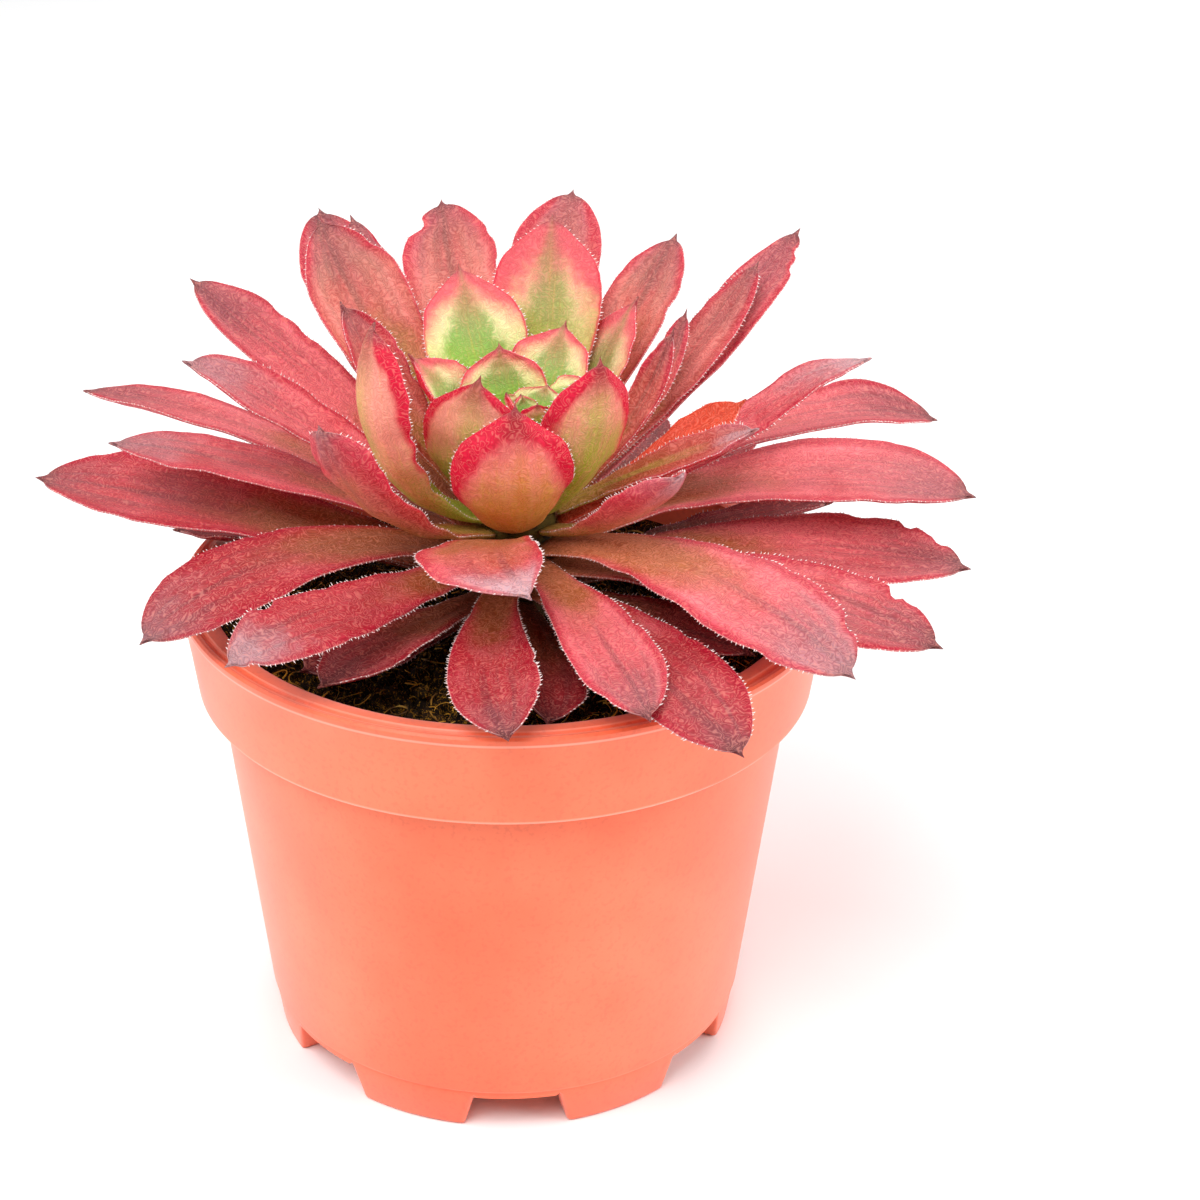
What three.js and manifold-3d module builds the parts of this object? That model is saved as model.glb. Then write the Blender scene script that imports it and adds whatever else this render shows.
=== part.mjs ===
// Potted aeonium: a rosette succulent in a round plastic nursery pot that stands on seven feet.
// Millimetres, +Z up. The pot's axis is Z and it stands on Z = 0; the plant's front faces -Y.
import * as THREE from 'three';
import { mergeVertices } from 'three/addons/utils/BufferGeometryUtils.js';
import Module from 'manifold-3d';

const wasm = await Module();
wasm.setup();

const DEG = Math.PI / 180;
const GAP = 0.3; // clearance between pieces that touch

// Driving dimensions of the pot.
const RIM_RADIUS = 60;
const POT_HEIGHT = 92.5;
const COLLAR_HEIGHT = 18;
const COLLAR_FOOT_RADIUS = 57.6;
const SKIRT_WALL = 1.2;
const RIM_WIDTH = 5;
const BODY_TOP_RADIUS = 53.8;
const BODY_FOOT_RADIUS = 46.6;
const WALL = 1.5;
const BASE_HEIGHT = 7.5; // underside of the floor, above the ground
const FLOOR = 2;
const FEET = 7;
const FOOT_DEPTH = 6; // across the ring
const FOOT_TURN = -61.5; // heading of the first foot, degrees from +X
const SEGMENTS_PER_FOOT = 5;
const SEGMENTS_PER_PITCH = 8;
const POT_SEGMENTS = FEET * SEGMENTS_PER_PITCH;
const DRAIN_HOLES = 6;
const DRAIN_RADIUS = 4;
const DRAIN_RING = 30;

// Driving dimensions of the soil and the stem.
const SOIL_TOP = 83.6;
const SOIL_SWELL = 0.9;
const SOIL_SEGMENTS = 40;
const SOIL_RINGS = 9;
const STEM_FOOT = 62;
const STEM_SHOULDER = 104; // the stem tapers above this height
const STEM_TOP = 120;
const STEM_RADIUS = 7;
const STEM_TIP_RADIUS = 3.2;
const STEM_LEAN = 0.11; // towards +X, per millimetre of height
const STEM_LEAN_FROM = 81; // the height where the leaning axis crosses the pot's axis

// The leaves, by whorl from the oldest to the youngest; every size is read from the plant.
// Each row holds: shape, heading (degrees from +X), height of the root, length, slope at the root,
// slope at the tip, width, cupping (radians each side of the midrib), roll, change of heading to the tip.
const WHORLS = {
  // Dark old leaves that lie over the soil.
  low: { neck: 0.4, thick: 1.8, color: 0x6e2a36, leaves: [
    ['spoon', -136, 89.5, 41.5, -2, 6, 14.5, 0.4, -17, -2],
    ['spoon', -74, 90, 45, 1, 2, 13, 0.6, -13, -21],
    ['spoon', 17, 90.2, 55.5, 2, 9, 12.5, 0.45, 2, 1],
    ['spoon', 164, 91, 58.5, 10, -4, 13, 0.5, 4, 2],
    ['spoon', -127, 91.6, 46, 4, 0, 13, 0.5, -4, 0],
    ['spoon', 98, 91.8, 60, 9, 4, 15, 0.45, 0, 0],
    ['spoon', -37, 92.3, 44, 2, 0, 13, 0.5, 9, 0],
    ['spoon', 12, 92.6, 54, 15, 4, 10, 0.5, -6, 1],
    ['spoon', 63, 93, 60, 10, 4, 15, 0.5, 13, 0],
    ['spoon', 121, 93.6, 60, 10, 4, 15, 0.5, -7, 0],
  ] },
  // Broad crimson leaves that reach out past the rim.
  outer: { neck: 0.4, thick: 1.8, color: 0xa83a4e, leaves: [
    ['spoon', -61, 93.6, 70, 15, -13, 17.5, 0.2, 9, -2],
    ['spoon', 175, 94.2, 81.5, 13, 7, 24.5, 0.4, -5, -2],
    ['spoon', 43, 94.6, 59, 10, 6, 15.5, 0.5, 8, 0],
    ['spoon', -100, 95, 60, 5, -1, 16, 0.5, 8, 20],
    ['spoon', -9, 95.4, 74.5, 14, -4, 25, 0.25, 3, -4],
    ['spoon', 157, 96.4, 89, 27, -6, 13.5, 0.35, 5, -8],
    ['spoon', 33, 96.8, 93.5, 24, -13, 16, 0.55, -3, -3],
    ['spoon', 78, 96.9, 60, 22, 14, 16, 0.5, -17, 0],
    ['spoon', -32, 97, 75, 15, -11, 21, 0.25, 8, 5],
    ['spoon', 134, 97.5, 60, 23, 12, 15.5, 0.45, 16, 0],
    ['spoon', -160, 98, 67.5, 25, -25, 20, 0.1, -7, 20],
    ['spoon', 100, 98.3, 61, 20, 14, 15.5, 0.55, -3, 0],
  ] },
  // Crimson leaves that lift clear of the ones below.
  upper: { neck: 0.4, thick: 1.8, color: 0xb8425a, leaves: [
    ['spoon', -71, 99, 59, 10, -11, 15, 0.3, 5, -1],
    ['spoon', -128, 99, 67.5, 7, 8, 13, 0.1, -26, -3],
    ['spoon', 12, 99.4, 77, 22, -7, 27.5, 0.35, 1, -27],
    ['spoon', 176, 100, 68, 22, 7, 19, 0.25, 4, 0],
    ['spoon', 124, 100.6, 82.5, 22, 35, 21, 0.4, 2, -10],
    ['spoon', 47, 101.2, 84.5, 20, 32, 13, 0.2, -1, 2],
    ['spoon', -42, 101.4, 69, 20, -22, 22, 0.1, 7, -3],
    ['spoon', 117, 102.4, 74, 28, 34, 10.5, 0.2, 6, 1],
    ['broad', -103, 102.1, 42, 34, -5, 26, 0.25, 6, 33],
    ['spoon', 152, 102.3, 71.5, 31, 28, 13, 0.55, -21, -3],
    ['spoon', 15, 102.3, 65.5, 19, 32, 11.5, 0.15, 10, 9],
    ['spoon', -178, 102.8, 60, 33, 36, 14, 0.55, -16, -1],
  ] },
  // Steep pink leaves round the heart, some of them curled.
  middle: { neck: 0.34, thick: 1.8, color: 0xc65a68, leaves: [
    ['spoon', 84, 103, 71.5, 44, 29, 18, 0.45, 5, -8],
    ['spoon', -143, 103.7, 53.5, 10, 67, 15, 0.95, -1, 24],
    ['spoon', 43, 103.8, 68.5, 20, 35, 10, 0.25, 4, 9],
    ['spoon', -3, 104, 39, 30, 39, 10.5, 0.45, 19, 14],
    ['spoon', -43, 104.3, 39.5, 14, 52, 15, 1.1, -2, -12],
    ['spoon', 109, 105.1, 66, 41, 34, 19.5, 0.6, -18, -10],
    ['spoon', 143, 105.5, 60.5, 39, 56, 20, 0.75, -21, -7],
    ['spoon', 31, 105.1, 45.5, 25, 53, 6, 0.4, 14, 28],
    ['spoon', -154, 106.2, 51.5, 10, 112, 20, 1.35, -6, 5],
    ['spoon', 165, 106.2, 44, 43, 66, 12, 0.95, -31, 2],
    ['spoon', 12, 106.7, 37.5, 38, 73, 6.5, 0.8, 39, 8],
    ['spoon', 56, 106, 59.5, 36, 39, 16.5, 0.4, -10, 2],
    ['spoon', -10, 106.9, 40, 29, 26, 8, 0.9, 30, -7],
  ] },
  // Young cupped leaves, green and yellow with pink edges.
  inner: { neck: 0.33, thick: 1.6, color: 0xb9b878, leaves: [
    ['cup', -92, 105.7, 35, 22, 104, 23.5, 0.75, 10, -4],
    ['cup', -50, 108.3, 36.5, 41, 91, 19.5, 0.75, -11, -5],
    ['broad', 49.5, 108.1, 38, 49, 53, 18.5, 0.4, -17, -7],
    ['cup', -130, 108.7, 28.5, 38, 118, 23.5, 0.65, 15, 3],
    ['broad', 79, 110.2, 51.5, 53, 40, 21.5, 0.5, 2, 7],
    ['broad', 117, 111.7, 39, 51, 52, 20, 0.45, -8, -10],
    ['cup', 160, 112, 25.5, 60, 47, 17, 0.95, -9, 1],
    ['broad', 71, 114, 25, 59, 50, 17.5, 0.75, -1, -6],
    ['cup', 116, 117.5, 17.5, 58, 71, 17.5, 0.7, -27, -5],
  ] },
};
const LEAF_ROOT = 0.1; // the blade starts this far off the stem's surface, before it is cut to fit

const smooth = (x) => {
  const u = Math.min(Math.max(x, 0), 1);
  return u * u * (3 - 2 * u);
};

// The solid that a closed geometry bounds, ready for joins and cuts.
function solidOf(geometry) {
  const bare = geometry.clone();
  bare.deleteAttribute('normal');
  bare.deleteAttribute('uv');
  const merged = mergeVertices(bare);
  return new wasm.Manifold(new wasm.Mesh({
    numProp: 3,
    vertProperties: new Float32Array(merged.attributes.position.array),
    triVerts: new Uint32Array(merged.index.array),
  }));
}

// The geometry of a solid, with flat faces.
function geometryOf(solid) {
  const mesh = solid.getMesh();
  const indexed = new THREE.BufferGeometry();
  indexed.setAttribute('position', new THREE.BufferAttribute(mesh.vertProperties, 3));
  indexed.setIndex(new THREE.BufferAttribute(mesh.triVerts, 1));
  const geometry = indexed.toNonIndexed();
  geometry.computeVertexNormals();
  return geometry;
}

// A solid turned about Z from [radius, height] points that start and end on the axis.
function turned(profile, segments, phase = 0) {
  const points = profile.map(([radius, height]) => new THREE.Vector2(radius, height));
  const geometry = new THREE.LatheGeometry(points, segments, phase * DEG);
  return geometry.rotateX(90 * DEG);
}

// ---- Pot ----

// The inside of the wall is one straight cone from the floor to the rim.
const WALL_LEAN = (BODY_TOP_RADIUS - BODY_FOOT_RADIUS) / (POT_HEIGHT - COLLAR_HEIGHT - BASE_HEIGHT);
const innerRadius = (z) => BODY_FOOT_RADIUS - WALL + WALL_LEAN * (z - BASE_HEIGHT);

function potProfile() {
  const top = POT_HEIGHT;
  const collarFoot = top - COLLAR_HEIGHT;
  const flange = 1.8; // thickness of the rim's flat top
  const outerRadius = (z) => innerRadius(z) + WALL;
  const underRim = top - flange;
  return [
    [0, BASE_HEIGHT],
    [BODY_FOOT_RADIUS - 0.3, BASE_HEIGHT],
    [BODY_FOOT_RADIUS - 0.15, BASE_HEIGHT + 1.5],
    [outerRadius(BASE_HEIGHT + 1.7), BASE_HEIGHT + 1.7], // fine step round the foot of the wall
    [outerRadius(underRim), underRim],
    [RIM_RADIUS - SKIRT_WALL - 0.1, underRim],
    [COLLAR_FOOT_RADIUS - SKIRT_WALL, collarFoot],
    [COLLAR_FOOT_RADIUS, collarFoot],
    [RIM_RADIUS - 0.2, top - 1.6],
    [RIM_RADIUS, top - 0.8],
    [RIM_RADIUS - 0.3, top],
    [RIM_RADIUS - 1.1, top],
    [RIM_RADIUS - 1.5, top - 0.45], // groove between the outer bead and the flat
    [RIM_RADIUS - 2.3, top - 0.45],
    [RIM_RADIUS - 2.8, top],
    [RIM_RADIUS - RIM_WIDTH + 0.3, top],
    [innerRadius(top - 0.7), top - 0.7],
    [innerRadius(BASE_HEIGHT + FLOOR), BASE_HEIGHT + FLOOR],
    [0, BASE_HEIGHT + FLOOR],
  ];
}

// One foot: a piece of ring under the wall, narrower at the ground than at the top.
function foot(heading) {
  const sunk = 0.5;
  const half = (SEGMENTS_PER_FOOT / POT_SEGMENTS) * 180 * DEG;
  const outer = BODY_FOOT_RADIUS - 0.3;
  const outline = new THREE.Shape();
  outline.absarc(0, 0, outer, -half, half, false);
  outline.absarc(0, 0, outer - FOOT_DEPTH, half, -half, true);
  const height = BASE_HEIGHT + sunk;
  const geometry = new THREE.ExtrudeGeometry(outline, {
    depth: height,
    steps: 1,
    bevelEnabled: false,
    curveSegments: SEGMENTS_PER_FOOT,
  });
  const place = geometry.attributes.position;
  for (let i = 0; i < place.count; i += 1) {
    const atGround = 1 - place.getZ(i) / height;
    const radius = Math.hypot(place.getX(i), place.getY(i)) - 1.1 * atGround;
    const turn = Math.atan2(place.getY(i), place.getX(i)) * (1 - 0.16 * atGround);
    place.setXY(i, radius * Math.cos(turn), radius * Math.sin(turn));
  }
  return solidOf(geometry.rotateZ(heading * DEG));
}

function drainHole(x, y) {
  const reach = 3;
  const cylinder = new THREE.CylinderGeometry(DRAIN_RADIUS, DRAIN_RADIUS, FLOOR + 2 * reach, 12);
  cylinder.rotateX(90 * DEG);
  cylinder.translate(x, y, BASE_HEIGHT + FLOOR / 2);
  return solidOf(cylinder);
}

function pot() {
  const pitch = 360 / FEET;
  const phase = FOOT_TURN + 90 + (SEGMENTS_PER_FOOT / 2) * (360 / POT_SEGMENTS);
  let body = solidOf(turned(potProfile(), POT_SEGMENTS, phase));
  for (let i = 0; i < FEET; i += 1) {
    body = body.add(foot(FOOT_TURN + i * pitch));
  }
  body = body.subtract(drainHole(0, 0));
  for (let i = 0; i < DRAIN_HOLES; i += 1) {
    const turn = (i / DRAIN_HOLES) * 2 * Math.PI;
    body = body.subtract(drainHole(DRAIN_RING * Math.cos(turn), DRAIN_RING * Math.sin(turn)));
  }
  return body;
}

// ---- Stem ----

const stemRadius = (z) => {
  const share = Math.max(z - STEM_SHOULDER, 0) / (STEM_TOP - STEM_SHOULDER);
  return STEM_RADIUS + (STEM_TIP_RADIUS - STEM_RADIUS) * share;
};
const stemCentre = (z) => STEM_LEAN * (z - STEM_LEAN_FROM);

// The stem, grown by a clearance all round when it is used as a cutter.
function stem(grown = 0) {
  const profile = [
    [0, STEM_FOOT - grown],
    [STEM_RADIUS - 1.5 + grown, STEM_FOOT - grown],
    [STEM_RADIUS + grown, STEM_FOOT + 8],
    [STEM_RADIUS + grown, STEM_SHOULDER],
    [(STEM_RADIUS + STEM_TIP_RADIUS) / 2 + grown, (STEM_SHOULDER + STEM_TOP) / 2],
    [STEM_TIP_RADIUS + grown, STEM_TOP - 1],
    [0, STEM_TOP + grown],
  ];
  const geometry = turned(profile, 20);
  geometry.translate(0, 0, -STEM_LEAN_FROM);
  geometry.applyMatrix4(new THREE.Matrix4().makeShear(0, 0, 0, 0, STEM_LEAN, 0));
  geometry.translate(0, 0, STEM_LEAN_FROM);
  return solidOf(geometry);
}

// ---- Soil ----

// Lumps of the loose surface: a few crossed waves of unlike lengths.
function lump(x, y) {
  const wide = Math.sin(0.21 * x + 0.6) * Math.cos(0.17 * y - 1.1);
  const fine = Math.sin(0.47 * x - 0.39 * y) * Math.sin(0.43 * y + 0.31 * x + 2);
  return SOIL_SWELL * (0.6 * wide + 0.55 * fine);
}

function soil() {
  const floor = BASE_HEIGHT + FLOOR + GAP;
  const profile = [[0, floor], [innerRadius(floor) - GAP, floor]];
  for (let ring = SOIL_RINGS; ring >= 0; ring -= 1) {
    profile.push([(innerRadius(SOIL_TOP) - GAP) * (ring / SOIL_RINGS), SOIL_TOP]);
  }
  const geometry = turned(profile, SOIL_SEGMENTS);
  const place = geometry.attributes.position;
  for (let i = 0; i < place.count; i += 1) {
    if (place.getZ(i) > SOIL_TOP - 1) {
      const edge = Math.hypot(place.getX(i), place.getY(i)) / innerRadius(SOIL_TOP);
      const level = lump(place.getX(i), place.getY(i)) * (1 - edge ** 8);
      place.setZ(i, SOIL_TOP + level);
    }
  }
  return solidOf(geometry).subtract(stem(GAP));
}

// ---- Leaves ----

// Where the blade is widest along its length, for each shape of leaf.
const WIDEST = { spoon: 0.74, broad: 0.6, cup: 0.5 };
const SPINE_STEPS = 48;
const STATIONS = [0, 9, 18, 26, 33, 38, 42, 45, 48];
const RIBS = [-1, -0.5, 0, 0.5, 1]; // places across the blade, from edge to edge
const THINNEST = 0.6;

// Half the blade's width at a place along it, as a share of its greatest half width.
function spread(along, widest, neck) {
  if (along < widest) {
    return neck + (1 - neck) * smooth(along / widest) ** 1.15;
  }
  const past = (along - widest) / (1 - widest);
  return Math.max(1 - past ** 2.1, 0) ** 0.62;
}

// The midrib: its points, and the directions along it, across it and out of the upper face.
function midrib(leaf) {
  const start = leaf.heading * DEG;
  const reach = stemRadius(leaf.base) + leaf.root + (leaf.thick / 2) * Math.max(Math.sin(leaf.rise * DEG), 0);
  const point = new THREE.Vector3(
    stemCentre(leaf.base) + reach * Math.cos(start),
    reach * Math.sin(start),
    leaf.base,
  );
  const frames = [];
  let before = null;
  for (let step = 0; step <= SPINE_STEPS; step += 1) {
    const along = step / SPINE_STEPS;
    const rise = (leaf.rise + (leaf.end - leaf.rise) * along) * DEG;
    const turn = (leaf.heading + leaf.sway * along) * DEG;
    const ahead = new THREE.Vector3(
      Math.cos(turn) * Math.cos(rise),
      Math.sin(turn) * Math.cos(rise),
      Math.sin(rise),
    );
    if (before) {
      point.addScaledVector(before, leaf.length / SPINE_STEPS / 2);
      point.addScaledVector(ahead, leaf.length / SPINE_STEPS / 2);
    }
    const across = new THREE.Vector3(-Math.sin(turn), Math.cos(turn), 0);
    across.applyAxisAngle(ahead, leaf.roll * DEG);
    const out = new THREE.Vector3().crossVectors(ahead, across);
    frames.push({ along, point: point.clone(), across, out });
    before = ahead;
  }
  return frames;
}

// The two faces of a blade at one place on it: its middle surface is cupped across the midrib.
function bladePoint(leaf, frame, rib, side) {
  const { along, point, across, out } = frame;
  const half = Math.max((leaf.width / 2) * spread(along, WIDEST[leaf.shape], leaf.neck), 0.35);
  const cup = Math.max(leaf.cup * (0.4 + 0.6 * smooth(along / 0.35)), 0.001);
  const angle = cup * rib;
  const full = leaf.thick * (1 - 0.6 * Math.abs(rib) ** 1.5);
  const thick = Math.max(full * (0.5 + 0.5 * Math.sqrt(1 - along ** 3)), THINNEST);
  const sideways = (half / cup) * Math.sin(angle) - side * (thick / 2) * Math.sin(angle);
  const upwards = (half / cup) * (1 - Math.cos(angle)) + side * (thick / 2) * Math.cos(angle);
  return point.clone().addScaledVector(across, sideways).addScaledVector(out, upwards);
}

// A closed blade: both faces are split into triangles alike, and the edges and ends join them.
function blade(leaf) {
  const frames = midrib(leaf);
  const rows = STATIONS.length;
  const columns = RIBS.length;
  const positions = [];
  for (const side of [1, -1]) {
    for (const station of STATIONS) {
      for (const rib of RIBS) {
        positions.push(...bladePoint(leaf, frames[station], rib, side).toArray());
      }
    }
  }
  const top = (row, column) => row * columns + column;
  const under = (row, column) => (rows + row) * columns + column;
  const faces = [];
  const quad = (a, b, c, d) => faces.push(a, b, c, a, c, d);
  for (let i = 0; i + 1 < rows; i += 1) {
    for (let j = 0; j + 1 < columns; j += 1) {
      quad(top(i, j), top(i + 1, j), top(i + 1, j + 1), top(i, j + 1));
      faces.push(under(i, j), under(i + 1, j + 1), under(i + 1, j));
      faces.push(under(i, j), under(i, j + 1), under(i + 1, j + 1));
    }
    const right = columns - 1;
    quad(top(i, right), top(i + 1, right), under(i + 1, right), under(i, right));
    quad(top(i, 0), under(i, 0), under(i + 1, 0), top(i + 1, 0));
  }
  const end = rows - 1;
  for (let j = 0; j + 1 < columns; j += 1) {
    quad(top(0, j), top(0, j + 1), under(0, j + 1), under(0, j));
    quad(top(end, j), under(end, j), under(end, j + 1), top(end, j + 1));
  }
  const geometry = new THREE.BufferGeometry();
  geometry.setAttribute('position', new THREE.Float32BufferAttribute(positions, 3));
  geometry.setIndex(faces);
  return solidOf(geometry);
}

// ---- Heart ----

// The smallest leaves, still together round the growing tip on top of the stem.
const BUD_LEAVES = [
  { heading: 62, length: 9.5, rise: 64, end: 80, width: 7 },
  { heading: 24, length: 14, rise: 58, end: 66, width: 9 },
  { heading: 178, length: 9, rise: 66, end: 82, width: 6.5 },
  { heading: -70, length: 9, rise: 60, end: 85, width: 6.5 },
  { heading: 110, length: 6.5, rise: 74, end: 84, width: 4.5 },
];
const BUD_FOOT = STEM_TOP + GAP;
const BUD_RADIUS = 2.4;

function heartBud() {
  const core = new THREE.SphereGeometry(BUD_RADIUS, 12, 8);
  core.rotateX(90 * DEG);
  core.scale(1, 1, 0.9);
  core.translate(stemCentre(STEM_TOP), 0, BUD_FOOT + 0.7 * BUD_RADIUS);
  const budLeaf = {
    shape: 'cup',
    base: STEM_TOP + 1.6,
    sway: 0,
    roll: 0,
    cup: 0.8,
    neck: 0.5,
    thick: 1.2,
    root: -1.6, // sunk into the core
  };
  let bud = solidOf(core);
  for (const leaf of BUD_LEAVES) {
    bud = bud.add(blade({ ...budLeaf, ...leaf }));
  }
  const below = new THREE.BoxGeometry(40, 40, 10);
  below.translate(0, 0, BUD_FOOT - 5);
  return bud.subtract(solidOf(below));
}

// ---- The whole plant in its pot ----

function named(name, solid, color, roughness) {
  const material = new THREE.MeshStandardMaterial({ color, roughness, metalness: 0 });
  const mesh = new THREE.Mesh(geometryOf(solid), material);
  mesh.name = name;
  return mesh;
}

const part = new THREE.Group();
part.add(named('pot', pot(), 0xff8a66, 0.45));
part.add(named('soil', soil(), 0x2a1c12, 0.95));
part.add(named('stem', stem(), 0x6b5a3a, 0.8));
part.add(named('heart_bud', heartBud(), 0xa9c05a, 0.5));

const stemSeat = stem(GAP);
for (const [whorl, { neck, thick, color, leaves }] of Object.entries(WHORLS)) {
  leaves.forEach((row, index) => {
    const [shape, heading, base, length, rise, end, width, cup, roll, sway] = row;
    const form = { shape, heading, base, length, rise, end, width, cup, roll, sway };
    const leaf = blade({ ...form, neck, thick, root: LEAF_ROOT }).subtract(stemSeat);
    const number = String(index + 1).padStart(2, '0');
    part.add(named(`${whorl}_leaf_${number}`, leaf, color, 0.5));
  });
}

export default part;
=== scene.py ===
from math import atan2, cos, hypot, pi, radians, sin, sqrt
from random import Random

import bmesh
import bpy
from bpy.props import EnumProperty, FloatProperty, FloatVectorProperty, IntProperty, PointerProperty
from mathutils import Euler, Matrix, Vector, noise


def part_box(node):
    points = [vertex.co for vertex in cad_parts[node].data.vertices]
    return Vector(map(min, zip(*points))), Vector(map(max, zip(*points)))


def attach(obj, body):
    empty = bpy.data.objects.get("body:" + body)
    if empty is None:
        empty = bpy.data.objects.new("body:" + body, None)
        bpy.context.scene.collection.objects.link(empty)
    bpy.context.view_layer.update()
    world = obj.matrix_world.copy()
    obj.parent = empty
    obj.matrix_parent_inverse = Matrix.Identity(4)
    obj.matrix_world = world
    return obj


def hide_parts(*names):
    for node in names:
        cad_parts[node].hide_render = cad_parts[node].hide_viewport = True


bl_info = {
    "name": "Potted Aeonium",
    "version": (1, 0, 0),
    "blender": (4, 5, 0),
    "location": "3D View > Sidebar > Aeonium",
    "description": "Builds a red-leaved rosette in a plastic nursery pot",
    "category": "Object",
}

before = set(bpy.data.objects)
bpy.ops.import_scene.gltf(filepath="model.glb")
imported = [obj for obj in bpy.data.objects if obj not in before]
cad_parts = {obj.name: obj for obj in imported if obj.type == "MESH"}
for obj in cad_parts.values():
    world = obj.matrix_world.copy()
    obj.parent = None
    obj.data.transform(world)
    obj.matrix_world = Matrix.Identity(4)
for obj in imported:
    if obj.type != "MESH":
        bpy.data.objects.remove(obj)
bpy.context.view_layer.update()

MM = 0.001
TURN = 2 * pi


def srgb(red, green, blue):
    """A colour given in screen bytes, as Blender's linear values."""
    shares = [byte / 255 for byte in (red, green, blue)]
    return tuple(share / 12.92 if share <= 0.04045 else ((share + 0.055) / 1.055) ** 2.4 for share in shares)


def smooth(x):
    """0 below 0, 1 above 1 and an even curve between them."""
    u = min(max(x, 0.0), 1.0)
    return u * u * (3 - 2 * u)


def mix(a, b, share):
    """The value that lies a share of the way from one to the other."""
    return a + (b - a) * share


# ---------------- settings


def length(name, description, default):
    return FloatProperty(
        name=name, description=description, default=default, min=0, unit="LENGTH", subtype="DISTANCE"
    )


def colour(name, description, red, green, blue):
    return FloatVectorProperty(
        name=name, description=description, default=srgb(red, green, blue), size=3, min=0, max=1,
        subtype="COLOR",
    )


POT_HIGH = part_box("pot")[1]
SOIL_LOW, SOIL_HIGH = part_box("soil")


class PotSettings(bpy.types.PropertyGroup):
    """Sizes and colours of the nursery pot."""

    height: length("Height", "From the ground to the rim", POT_HIGH.z)
    rim_radius: length("Rim radius", "Outside of the bead", POT_HIGH.x)
    rim_width: length("Rim width", "Flat top of the rim", 5 * MM)
    collar_height: length("Collar height", "From the rim to the collar's lower edge", 18 * MM)
    collar_foot_radius: length("Collar foot radius", "Outside of the collar's lower edge", 57.6 * MM)
    skirt_wall: length("Collar wall", "Thickness of the collar", 1.2 * MM)
    top_radius: length("Body top radius", "Outside of the wall under the collar", 53.8 * MM)
    foot_radius: length("Body foot radius", "Outside of the wall at the floor", 46.6 * MM)
    wall: length("Wall", "Thickness of the wall", 1.5 * MM)
    base: length("Base height", "Underside of the floor above the ground", 7.5 * MM)
    floor: length("Floor", "Thickness of the floor", 2 * MM)
    foot_depth: length("Foot depth", "Across the ring of feet", 6 * MM)
    feet: IntProperty(name="Feet", description="Feet round the base", default=7, min=3)
    drain_holes: IntProperty(name="Drain holes", description="Holes round the middle one", default=6)
    drain_radius: length("Drain radius", "Radius of a drain hole", 4 * MM)
    drain_ring: length("Drain ring", "From the middle to the outer drain holes", 30 * MM)
    plastic: colour("Plastic", "Main colour of the pot", 250, 98, 47)
    # Colour of the flow marks and of the painted shade inside the pot; it also deepens the rim's top and the
    # wall towards the ground.
    plastic_deep_and_shade: colour("Deep plastic", "Colour in the hollows of the pot", 232, 78, 42)


class SoilSettings(bpy.types.PropertyGroup):
    """Sizes and colours of the potting mix."""

    top: length("Soil top", "Mean height of the surface", 83.6 * MM)
    swell: length("Swell", "Height of the broad lumps", 0.9 * MM)
    crumbs: IntProperty(name="Crumbs", description="Loose crumbs on the surface", default=1500)
    fibres: IntProperty(name="Fibres", description="Curled fibres on the surface", default=900)
    peat: colour("Peat", "Main colour of the soil", 22, 12, 5)
    fibre: colour("Fibre", "Colour of the fibres", 204, 144, 36)


class LeafSettings(bpy.types.PropertyGroup):
    """Fineness and colours of the leaves."""

    stations: IntProperty(name="Stations", description="Faces along a leaf", default=60, min=8)
    ribs: IntProperty(name="Ribs", description="Faces across a leaf", default=18, min=4)
    hair: length("Hair length", "Length of the hairs along the margin", 0.55 * MM)
    hair_pitch: length("Hair pitch", "Distance between hairs", 0.9 * MM)
    crimson: colour("Crimson", "Deeper parts of the old leaves", 204, 42, 60)
    rose: colour("Rose", "Lighter parts of the old leaves", 246, 120, 128)
    bronze: colour("Bronze", "Old leaves near the stem", 176, 112, 56)
    olive: colour("Olive", "Middle leaves near the stem and backs of the young ones", 182, 150, 62)
    edge: colour("Edge", "Edge of the old leaves", 196, 26, 58)
    margin: colour("Margin", "Edge of the young leaves", 220, 22, 60)
    dusk: colour("Dusk", "Greyed streaks towards the tips", 136, 70, 76)
    dust: colour("Dust", "Paler middle of the old leaves", 208, 86, 92)
    ash: colour("Ash", "Greyed ends of the old leaves", 146, 84, 92)
    # Multiplied in as painted shade on the lowest leaves and some front ones, with the old leaves' own
    # deeper maroon.
    maroon_and_shade: colour("Maroon", "Darkening of the lowest leaves", 150, 92, 92)
    green: colour("Green", "Middle of the young leaves", 130, 178, 84)
    moss: colour("Moss", "Veins in the green and middle of the young backs", 184, 182, 86)
    lime: colour("Lime", "Young leaves near the stem", 150, 206, 20)
    cream: colour("Cream", "Sides of the young leaves", 250, 245, 180)
    pink: colour("Pink", "Tops of the young leaves", 240, 104, 112)
    coral: colour("Coral", "Backs of the young leaves", 224, 118, 68)
    blush: colour("Blush", "Lighter backs of the young leaves", 255, 168, 148)
    straw: colour("Straw", "Flanks of the young backs near the stem", 255, 212, 130)
    gold: colour("Gold", "Foot of the warmest backs", 244, 172, 78)
    # Greyed tips, which also stand in as painted sheen where the tips catch the light.
    pale: colour("Pale", "Bleached tips", 222, 188, 196)
    hair_colour: colour("Hair", "Hairs along the margin", 255, 238, 234)


class AeoniumSettings(bpy.types.PropertyGroup):
    """Everything a user can change."""

    pot: PointerProperty(type=PotSettings, name="Pot", description="The nursery pot")
    soil: PointerProperty(type=SoilSettings, name="Soil", description="The potting mix")
    leaf: PointerProperty(type=LeafSettings, name="Leaves", description="The leaves")


# ---------------- shader maths


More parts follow.
